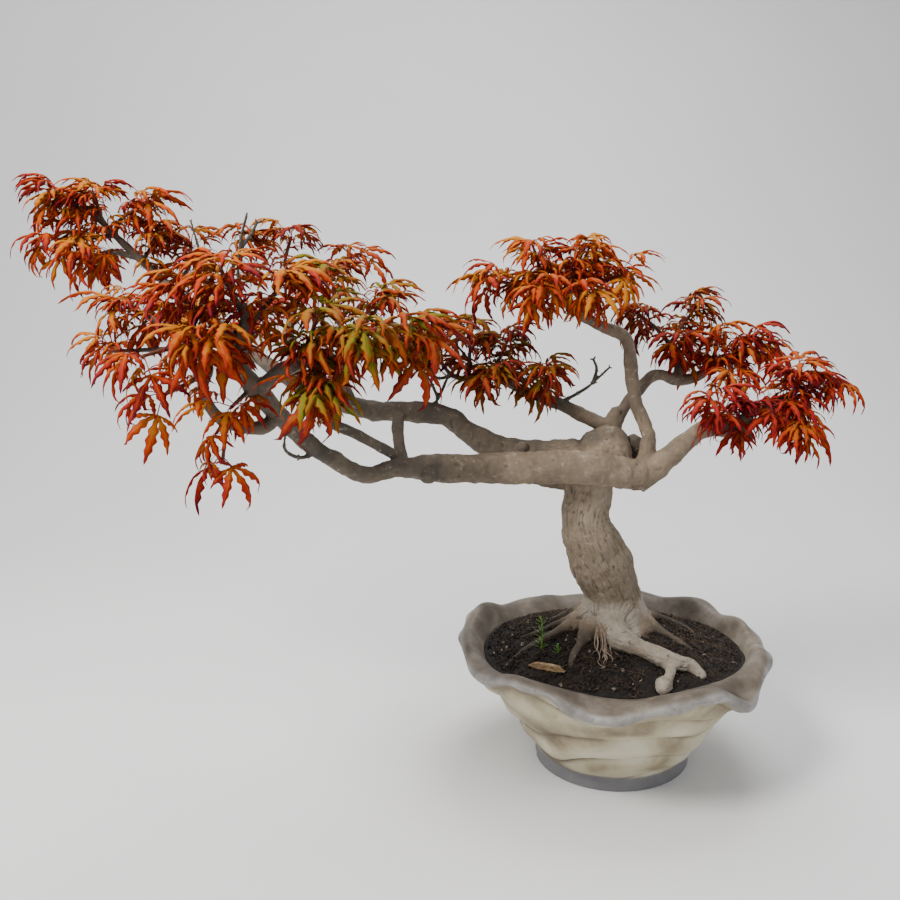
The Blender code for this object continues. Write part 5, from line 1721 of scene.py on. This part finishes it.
class Foliage:
    """Gathers the blades and stalks of one part of the crown, with what the leaf finish reads."""

    def __init__(self):
        self.solids = []
        self.along = []
        self.across = []
        self.shade = []
        self.kind = []

    def add(self, points, faces, along, across, shade, kind):
        self.solids.append((points, faces))
        self.along.append(np.broadcast_to(along, len(points)))
        self.across.append(np.broadcast_to(across, len(points)))
        self.shade.append(np.full(len(points), shade))
        self.kind.append(np.full(len(points), kind))

    def leaf(self, leaf, seed, stations=STATIONS, across_rows=FULL_ROWS):
        draw = random.Random(seed)
        shade = draw.random()
        for lobe in leaf["lobes"]:
            points, lifts, along, across = lobe_strip(leaf, lobe, stations, draw, across_rows)
            solid, faces = blade(points, lifts)
            along = np.concatenate([along.ravel(), along[:, 1:-1].ravel()])
            across = np.concatenate([across.ravel(), across[:, 1:-1].ravel()])
            self.add(solid, faces, along, across, shade, 0.0)
        root, hub = np.array(leaf["root"]), np.array(leaf["hub"])
        low = np.array(leaf["up"]) * PETIOLE_SINK
        middle = (root + hub) / 2 + np.array(leaf["up"]) * PETIOLE_BOW
        radius = PETIOLE_RADIUS * leaf["size"]
        ends = [root, middle, hub - low, hub - low + (hub - middle) * 0.25]
        solid, faces = stalk(ends, (radius, radius * 0.8, radius * 1.1, radius * 0.6))
        self.add(solid, faces, 0.0, 0.0, shade, 1.0)

    def shoot(self, base, ahead):
        base, ahead = np.array(base), np.array(ahead)
        steps = np.linspace(0.0, SHOOT_LENGTH * 1.06, SHOOT_ROWS)
        knots = np.tile((1.0, 1.22), SHOOT_ROWS)[:SHOOT_ROWS]
        radii = np.interp(steps, (0, SHOOT_LENGTH), SHOOT_RADII) * knots
        solid, faces = stalk([base + ahead * s for s in steps], radii, 7)
        self.add(solid, faces, 0.0, 0.0, 0.5, 2.0)

    def made(self, name, finish):
        points, faces = joined(self.solids)
        made = piece(name, keep_in_box(points), faces, finish)
        for attribute, values in (
            ("along", self.along), ("across", self.across), ("shade", self.shade), ("kind", self.kind),
        ):
            store(made, attribute, np.concatenate(values))
        return made


print("a part of the crown can:", [name for name in vars(Foliage) if not name.startswith("_")])

# %% [markdown]
# Between the full-grown leaves a pinched maple carries many small ones, which fill the crown. They
# grow by the same rule from the same shoots and from the twigs behind them, only smaller, turned at
# random, and they are kept where they stay inside the solid model's box.

# %% Leaves of one part of the crown
SMALL_LEAVES = 18
FEW_LEAVES = 4
SMALL_SIZES = (0.50, 0.95)
SMALL_STATIONS = 7
SMALL_LOOSENESS = 6          # the try whose looseness all small leaves have
TRIES_PER_LEAF = 4
BOX_CLEARANCE = 0.001
STEEP = 0.15


def within_box(leaf):
    """Whether the hub and all tips of a leaf stay clear of the solid model's box."""
    tips = np.array(tips_of(leaf) + [leaf["hub"]])
    low, high = np.array(cad_low) + BOX_CLEARANCE, np.array(cad_high) - BOX_CLEARANCE
    return bool((tips > low).all() and (tips < high).all())


def small_leaf(base, ahead, scale, draw):
    share = draw.uniform(-1.3, 1.05)
    side = draw.choice((-1, 1))
    size = LEAF_SIZE * scale * draw.uniform(*SMALL_SIZES)
    turn = draw.uniform(0, math.pi)
    return grow_leaf(base, ahead, share, turn, side, size, draw, SMALL_LOOSENESS)


def crown_part(part, finish):
    foliage = Foliage()
    for leaf_index, leaf in enumerate(leaves[part]):
        foliage.leaf(leaf, SEED * 7919 + leaf_index * 31 + len(part))
    draw = random.Random(SEED + len(part) * 97)
    for start, heading, _, scale in SPRAYS[part]:
        ahead = Vector(heading).normalized()
        base = Vector(start) + GAP * ahead
        foliage.shoot(base, ahead)
        wanted = SMALL_LEAVES if ahead.z > STEEP or part != "left_front" else FEW_LEAVES
        for _ in range(SMALL_LEAVES * TRIES_PER_LEAF):
            leaf = small_leaf(base, ahead, scale, draw)
            if wanted and within_box(leaf):
                foliage.leaf(leaf, draw.randrange(10**6), SMALL_STATIONS, PLAIN_ROWS)
                wanted -= 1
    nodes = [f"spray_{part}_{k}" for k in range(1, len(SPRAYS[part]) + 1)]
    return dressed(foliage.made("foliage_" + part, finish), "leaf_" + part, *nodes)


inside = sum(within_box(leaf) for some in leaves.values() for leaf in some)
print("full-grown leaves well inside the box", inside)

# %% [markdown]
# Autumn colour runs out from the heart of each leaf: the heart and the veins stay yellow or olive the
# longest, the lobes turn orange and red, and the tips and the teeth go crimson to purple. A thin leaf
# also lets light through, so the shader mixes gloss with translucence.

# %% Leaf finish
GLOW_SHARE = 0.36
PALETTES = {
    "far_left": ((0.66, 0.25, 0.008), (0.62, 0.088, 0.003), (0.46, 0.018, 0.004), (0.20, 0.004, 0.016)),
    "left_back": ((0.58, 0.23, 0.008), (0.52, 0.068, 0.003), (0.36, 0.014, 0.006), (0.13, 0.004, 0.018)),
    "left_front": ((0.66, 0.23, 0.007), (0.58, 0.058, 0.003), (0.42, 0.011, 0.006), (0.18, 0.004, 0.028)),
    "middle": ((0.23, 0.22, 0.009), (0.44, 0.13, 0.004), (0.50, 0.034, 0.003), (0.18, 0.005, 0.012)),
    "centre": ((0.28, 0.16, 0.009), (0.38, 0.065, 0.005), (0.32, 0.016, 0.006), (0.11, 0.004, 0.014)),
    "top": ((0.68, 0.26, 0.008), (0.62, 0.092, 0.003), (0.46, 0.016, 0.004), (0.19, 0.004, 0.014)),
    "back_right": ((0.48, 0.15, 0.008), (0.42, 0.048, 0.004), (0.30, 0.011, 0.006), (0.11, 0.004, 0.014)),
    "right": ((0.64, 0.18, 0.007), (0.56, 0.045, 0.003), (0.40, 0.009, 0.006), (0.16, 0.003, 0.020)),
    "low_right": ((0.56, 0.085, 0.012), (0.48, 0.020, 0.010), (0.34, 0.006, 0.013), (0.15, 0.003, 0.026)),
    "far_right": ((0.60, 0.13, 0.007), (0.52, 0.030, 0.005), (0.36, 0.007, 0.009), (0.14, 0.003, 0.026)),
}


def autumn_leaf(part):
    finish = Finish("autumn_leaf_" + part)
    along, across, shade, kind = (finish.stored(n) for n in ("along", "across", "shade", "kind"))
    heart, lobe, margin, tip = PALETTES[part]
    cloud = finish.noise(95, 4, 0.6)
    fine = finish.noise(420, 3, 0.6)
    edge = finish.math("ABSOLUTE", across)
    ripe = along * 0.56 + edge * 0.22 + (cloud - 0.5) * 1.05 + (shade - 0.5) * 0.62
    colour = finish.colours((0.12, heart), (0.34, lobe), (0.62, margin), (0.95, tip), by=ripe)
    side_veins = finish.node(
        "ShaderNodeMath", {"operation": "PINGPONG"}, {0: along * 9.0 - edge * 1.6, 1: 0.5}
    ).within(0.0, 0.16)
    rib = 1 - edge.within(0.03, 0.14)
    veins = finish.math("MAXIMUM", rib * 0.75, (1 - side_veins) * 0.34)
    pale = finish.mixed(0.3, heart, (0.60, 0.24, 0.03))
    colour = finish.mixed(veins * 0.7 * (1 - along.within(0.45, 0.95)), colour, pale)
    colour = finish.mixed(fine.within(0.60, 0.72) * 0.35, colour, (0.13, 0.030, 0.012))
    stalks = finish.mixed(fine, (0.50, 0.045, 0.085), (0.32, 0.05, 0.030))
    bark_like = finish.mixed(cloud, (0.16, 0.095, 0.045), (0.30, 0.05, 0.035))
    colour = finish.mixed(kind.within(0.2, 0.8), colour, stalks)
    colour = finish.mixed(kind.within(1.2, 1.8), colour, bark_like)
    puckers = finish.bump(finish.noise(330, 3, 0.55), 0.0007, 0.65)
    ridges = finish.bump(veins, 0.0005, 0.55, under=puckers)
    rough = 0.52 + fine * 0.25
    finish.dress(Base_Color=colour, Roughness=rough, Normal=ridges, Specular_IOR_Level=0.22)
    through = finish.node("ShaderNodeBsdfTranslucent", None, {"Color": colour, "Normal": ridges})
    gloss = Wire(finish, finish.shader.outputs[0])
    glow = finish.node("ShaderNodeMixShader", None, {0: GLOW_SHARE, 1: gloss, 2: through})
    finish.feed(finish.tree.nodes["Material Output"].inputs["Surface"], glow)
    return finish.material


for part in SPRAYS:
    crown_part(part, autumn_leaf(part))

# %% [markdown]
# A weed has seeded itself left of the trunk: a thin stem with needle-fine leaflets in pairs, and a tiny
# second one beside it. Its leaflets are narrow spindles set round the stem by a loop.

# %% Weed sprout
WEEDS = (                    # x, y, height, pairs of leaflets, share of their full length
    (-0.073, -0.030, 0.034, 11, 1),
    (-0.073 + 0.014, -0.030 - 0.012, 0.009, 4, 0.6),
)
WEED_ROOT = 0.002
STEM_RADII = (0.0009, 0.0005)
LEAFLET_WIDTH = 0.00062
LEAFLET_TURN = 2.4


def spindle(root, out, length, width):
    """A narrow closed leaflet with a fold along its middle."""
    out = Vector(out).normalized()
    across = out.cross(Vector((0, 0, 1))).normalized()
    lift = across.cross(out).normalized()
    root = Vector(root)
    rows = []
    for t, w in ((0.0, 0.25), (0.25, 0.8), (0.5, 1.0), (0.75, 0.7), (1.0, 0.08)):
        middle = root + out * length * t - Vector((0, 0, 1)) * length * 0.18 * t * t
        rows.append((middle, across * width * w, lift * width * 0.35 * w))
    points, faces = [], []
    for middle, side, up in rows:
        points += [middle - side, middle + up, middle + side, middle - up * 0.4]
    for i in range(len(rows) - 1):
        for k in range(4):
            a, b = i * 4 + k, i * 4 + (k + 1) % 4
            faces.append((a, a + 4, b + 4, b))
    faces += [(0, 1, 2, 3), tuple(len(points) - 1 - k for k in range(4))]
    return np.array(points), faces


def weed(finish):
    solids = []
    for x, y, height, count, share in WEEDS:
        low = float(soil_height(x, y)) - WEED_ROOT
        full = height + WEED_ROOT
        stem = [(x + 0.0015 * math.sin(t * 3), y, low + full * t) for t in np.linspace(0, 1, 6)]
        solids.append(stalk(stem, np.linspace(*STEM_RADII, 6), 6))
        for k in range(count):
            t = 0.12 + 0.86 * k / count
            at = Vector(stem[0]).lerp(Vector(stem[-1]), t)
            for side in (-1, 1):
                turn = LEAFLET_TURN * k + (0 if side > 0 else math.pi)
                out = (math.cos(turn), math.sin(turn), 0.55 + 0.3 * t)
                length = (0.0105 - 0.0045 * t) * share
                solids.append(spindle(at, out, length, LEAFLET_WIDTH))
    points, faces = joined(solids)
    return piece("weed", points, faces, finish)


def weed_finish():
    finish = Finish("weed_leaf")
    cloud = finish.noise(300, 3, 0.6)
    colour = finish.colours(
        (0.3, (0.055, 0.15, 0.015)), (0.55, (0.13, 0.30, 0.030)), (0.8, (0.30, 0.46, 0.06)), by=cloud
    )
    grain_of_leaf = finish.bump(finish.noise(900, 2), 0.0002, 0.6)
    return finish.dress(Base_Color=colour, Roughness=0.4 + cloud * 0.2, Normal=grain_of_leaf)


dressed(weed(weed_finish()), "weed_green", "weed_sprout")

# %% [markdown]
# A flake of pine bark lies on the soil. Such bark is layered like old paint, so the flake is a stack of
# thin uneven plates, each a little shorter than the one below.

# %% Bark chip
CHIP_FROM = (-0.086, -0.052)
CHIP_TO = (-0.056, -0.076)
CHIP_LAYERS = 4
CHIP_HALF_WIDTH = 0.0037
CHIP_LIFT = 0.0004
CHIP_STEP = 0.0011
CHIP_THICKNESS = 0.00125


def chip(finish):
    start, end = np.array(CHIP_FROM), np.array(CHIP_TO)
    solids = []
    for layer in range(CHIP_LAYERS):
        trim = 0.06 * layer
        shares = np.linspace(trim, 1 - trim * 0.7, 13)
        middle = start + (end - start) * shares[:, None]
        side = np.array((-(end - start)[1], (end - start)[0])) / np.linalg.norm(end - start)
        half = CHIP_HALF_WIDTH * np.interp(shares, (0, 0.2, 0.7, 1), (0.35, 0.9, 1, 0.4))
        half = half * (1 - 0.13 * layer)
        ragged = 0.0009 * field(np.column_stack([shares * 14, shares * 0 + layer * 3, shares * 0]), 51)
        points = []
        for place, wide, rag in zip(middle, half, ragged):
            for way in (-1, 1):
                x, y = place + side * way * (wide + rag * way)
                ground = float(soil_height(*place)) + CHIP_LIFT + CHIP_STEP * layer
                points += [(x, y, ground), (x, y, ground + CHIP_THICKNESS)]
        faces = []
        for a in range(0, 4 * len(shares) - 4, 4):
            for k, m in ((0, 1), (1, 3), (3, 2), (2, 0)):
                faces.append((a + k, a + k + 4, a + m + 4, a + m))
        last = len(points) - 4
        faces += [(0, 1, 3, 2), (last, last + 2, last + 3, last + 1)]
        solids.append((np.array(points), faces))
    points, faces = joined(solids)
    return piece("pine_bark_flake", points, faces, finish, smooth=False)


def chip_finish():
    finish = Finish("dry_pine_bark")
    layers = finish.noise(130, 5, 0.7, vector=finish.stretched((1, 1, 5)))
    colour = finish.colours(
        (0.3, (0.13, 0.075, 0.035)), (0.5, (0.36, 0.235, 0.115)), (0.72, (0.56, 0.43, 0.26)), by=layers
    )
    bumps = finish.bump(layers, 0.0008, 0.9)
    return finish.dress(Base_Color=colour, Roughness=0.8 + layers * 0.15, Normal=bumps)


dressed(chip(chip_finish()), "dry_bark", "bark_chip")

# %% [markdown]
# Peat fibres give the soil its scale. Each is a thin bent strand that lies on the surface and lifts a
# little in its middle. They could be combed hair, but a loop with a fixed seed gives the same solid
# strands every time and they stay meshes, which the library can keep.

# %% Peat fibres
FIBRES = 420
FIBRE_LENGTHS = (0.006, 0.022)
FIBRE_RADIUS = 0.00022
FIBRE_LIFT = 0.0012
FIBRE_REACH = 0.11
FIBRE_TAPER = np.array((0.6, 1, 1, 1, 0.8, 0.4))
PEAT = ((0.035, 0.020, 0.010), (0.16, 0.095, 0.050))
FIBRE_SEED = 3


def lying_strand(x, y, turn, length, draw):
    points = []
    for t in np.linspace(0, 1, len(FIBRE_TAPER)):
        px = x + math.cos(turn) * length * t
        py = y + math.sin(turn) * length * t
        turn += draw.uniform(-0.35, 0.35)
        points.append((px, py, float(soil_height(px, py)) + FIBRE_LIFT + 0.0008 * math.sin(t * math.pi)))
    return points


def peat_fibres(finish):
    draw = random.Random(FIBRE_SEED)
    solids = []
    while len(solids) < FIBRES:
        away = math.sqrt(draw.uniform(0.12, 1)) * FIBRE_REACH
        where = draw.uniform(0, 2 * math.pi)
        x, y = away * math.cos(where), away * math.sin(where)
        thick = FIBRE_RADIUS * draw.uniform(0.6, 1.4)
        turn = draw.uniform(0, 6.28)
        points = lying_strand(x, y, turn, draw.uniform(*FIBRE_LENGTHS), draw)
        solids.append(stalk(points, thick * FIBRE_TAPER, 4))
    points, faces = joined(solids)
    return dressed(piece("peat_fibres", keep_in_box(points), faces, finish), "potting_soil")


def fibre_finish(name, dark, light):
    finish = Finish(name)
    cloud = finish.noise(180, 3, 0.6)
    colour = finish.mixed(cloud.within(0.3, 0.7), dark, light)
    bumps = finish.bump(cloud, 0.0003, 0.7)
    return finish.dress(Base_Color=colour, Roughness=0.75 + cloud * 0.2, Normal=bumps)


peat_fibres(fibre_finish("peat_fibre", *PEAT))

# %% [markdown]
# Fine roots hang from the trunk's foot at the front and lie down on the soil. They start in the wood,
# drop over the first half of their length, and taper to a hair.

# %% Hair roots
HAIR_ROOTS = 14
HAIR_ROWS = 9
HAIR_LENGTHS = (0.014, 0.034)
HAIR_RADII = (0.0009, 0.00025)
HAIR_START = 0.016
HAIR_LIFT = 0.0012
ROOT_SKIN = ((0.20, 0.13, 0.085), (0.42, 0.33, 0.25))
HAIR_SEED = 12


def hair_roots(finish):
    draw = random.Random(HAIR_SEED)
    solids = []
    for _ in range(HAIR_ROOTS):
        x, y = draw.uniform(-0.026, -0.008), draw.uniform(-0.046, -0.038)
        turn = draw.uniform(-2.1, -1.3)
        length = draw.uniform(*HAIR_LENGTHS)
        points = []
        for t in np.linspace(0, 1, HAIR_ROWS):
            px, py = x + math.cos(turn) * length * t, y + math.sin(turn) * length * t
            turn += draw.uniform(-0.16, 0.16)
            height = float(soil_height(px, py)) + HAIR_LIFT + HAIR_START * max(0.0, 1 - t * 2.2)
            points.append((px, py, height))
        solids.append(stalk(points, np.linspace(*HAIR_RADII, HAIR_ROWS), 5))
    points, faces = joined(solids)
    return dressed(piece("hair_roots", keep_in_box(points), faces, finish), "maple_bark")


hair_roots(fibre_finish("hair_root_skin", *ROOT_SKIN))

# %% [markdown]
# White grit is crushed stone that keeps the mix open. It is scattered by the same tree of nodes as the
# crumbs, thinly and with a seed of its own, over a patch that leaves the lip free.

# %% White grit
GRIT_PER_AREA = 260.0
GRIT_SIZES = (0.0010, 0.0019)
GRIT_REACH = 0.95
GRIT_START = 0.03
GRIT_LIFT = 0.0008
GRIT_SEED = 9

grit = soil_patch("white_grit", GRIT_REACH, GRIT_START)


def grit_finish():
    finish = Finish("white_grit")
    cloud = finish.noise(600, 3, 0.6)
    colour = finish.mixed(cloud, (0.55, 0.50, 0.44), (0.86, 0.84, 0.80))
    bumps = finish.bump(cloud, 0.0003, 0.8)
    return finish.dress(Base_Color=colour, Roughness=0.6 + cloud * 0.2, Normal=bumps)


scattered(grit, grit_finish(), GRIT_PER_AREA, GRIT_SIZES, GRIT_SEED)
place_points(grit, corners_of(grit.data) + np.array((0, 0, GRIT_LIFT)))
dressed(grit, "potting_soil")

# %% [markdown]
# The tree stands on a plain pale floor that curves up into a wall, as in a studio. There is no corner,
# so no line runs behind the pot. It could be a flat floor with a bright world, but then the horizon
# would show between the leaves.

# %% Floor and backdrop
FLOOR_SIZE = 6.0
FLOOR_BEND = 0.9             # radius of the curve from floor to wall
BEND_FROM = 0.6
FLOOR_FRONT = -2.5
WALL_TOP = 3.0
FLOOR_DROP = 0.0005


def floor_finish():
    finish = Finish("pale_floor")
    cloud = finish.noise(3, 2)
    colour = finish.mixed(cloud, (0.80, 0.80, 0.80), (0.86, 0.855, 0.85))
    return finish.dress(Base_Color=colour, Roughness=0.7 + cloud * 0.1)


def backdrop():
    """A floor that curves up into a wall behind the pot."""
    rows = [(FLOOR_FRONT, 0.0), (BEND_FROM, 0.0)]
    for a in np.linspace(0.1, math.pi / 2, 12):
        rows.append((BEND_FROM + FLOOR_BEND * math.sin(a), FLOOR_BEND - FLOOR_BEND * math.cos(a)))
    rows.append((BEND_FROM + FLOOR_BEND, WALL_TOP))
    points = [(x, y, z - FLOOR_DROP) for y, z in rows for x in (-FLOOR_SIZE / 2, FLOOR_SIZE / 2)]
    faces = [(2 * i, 2 * i + 1, 2 * i + 3, 2 * i + 2) for i in range(len(rows) - 1)]
    print("floor faces", len(faces))
    return piece("floor", points, faces, floor_finish())


backdrop()

# %% [markdown]
# Soft light comes from the left and above, as in a studio, with a weaker fill from the right. Large
# lamps give the soft shadow under the lip and keep the leaves' gloss gentle. The world's cool light
# fills what the lamps leave dark.

# %% Lights
CROWN_MIDDLE = (-0.16, -0.03, 0.32)
SKY = (0.80, 0.85, 0.92, 1)
SKY_STRENGTH = 0.37


def lamp(name, place, target, size, power, colour=(1, 1, 1)):
    light = bpy.data.lights.new(name, "AREA")
    light.shape = "DISK"
    light.size = size
    light.energy = power
    light.color = colour
    made = bpy.data.objects.new(name, light)
    way = Vector(target) - Vector(place)
    made.matrix_world = Matrix.Translation(place) @ way.to_track_quat("-Z", "Y").to_matrix().to_4x4()
    bpy.context.scene.collection.objects.link(made)
    return made


lamp("key_light", (-1.0, -0.7, 1.5), CROWN_MIDDLE, 0.7, 42, (1.0, 0.97, 0.93))
lamp("fill_light", (1.2, -0.9, 0.7), CROWN_MIDDLE, 1.2, 6, (0.93, 0.96, 1.0))
lamp("top_light", (0.2, 0.5, 1.6), CROWN_MIDDLE, 0.9, 18)

world = bpy.data.worlds.new("studio")
world.use_nodes = True
sky = world.node_tree.nodes["Background"]
sky.inputs["Color"].default_value = SKY
sky.inputs["Strength"].default_value = SKY_STRENGTH
bpy.context.scene.world = world

# %% [markdown]
# Dressing must not change the size of the part.
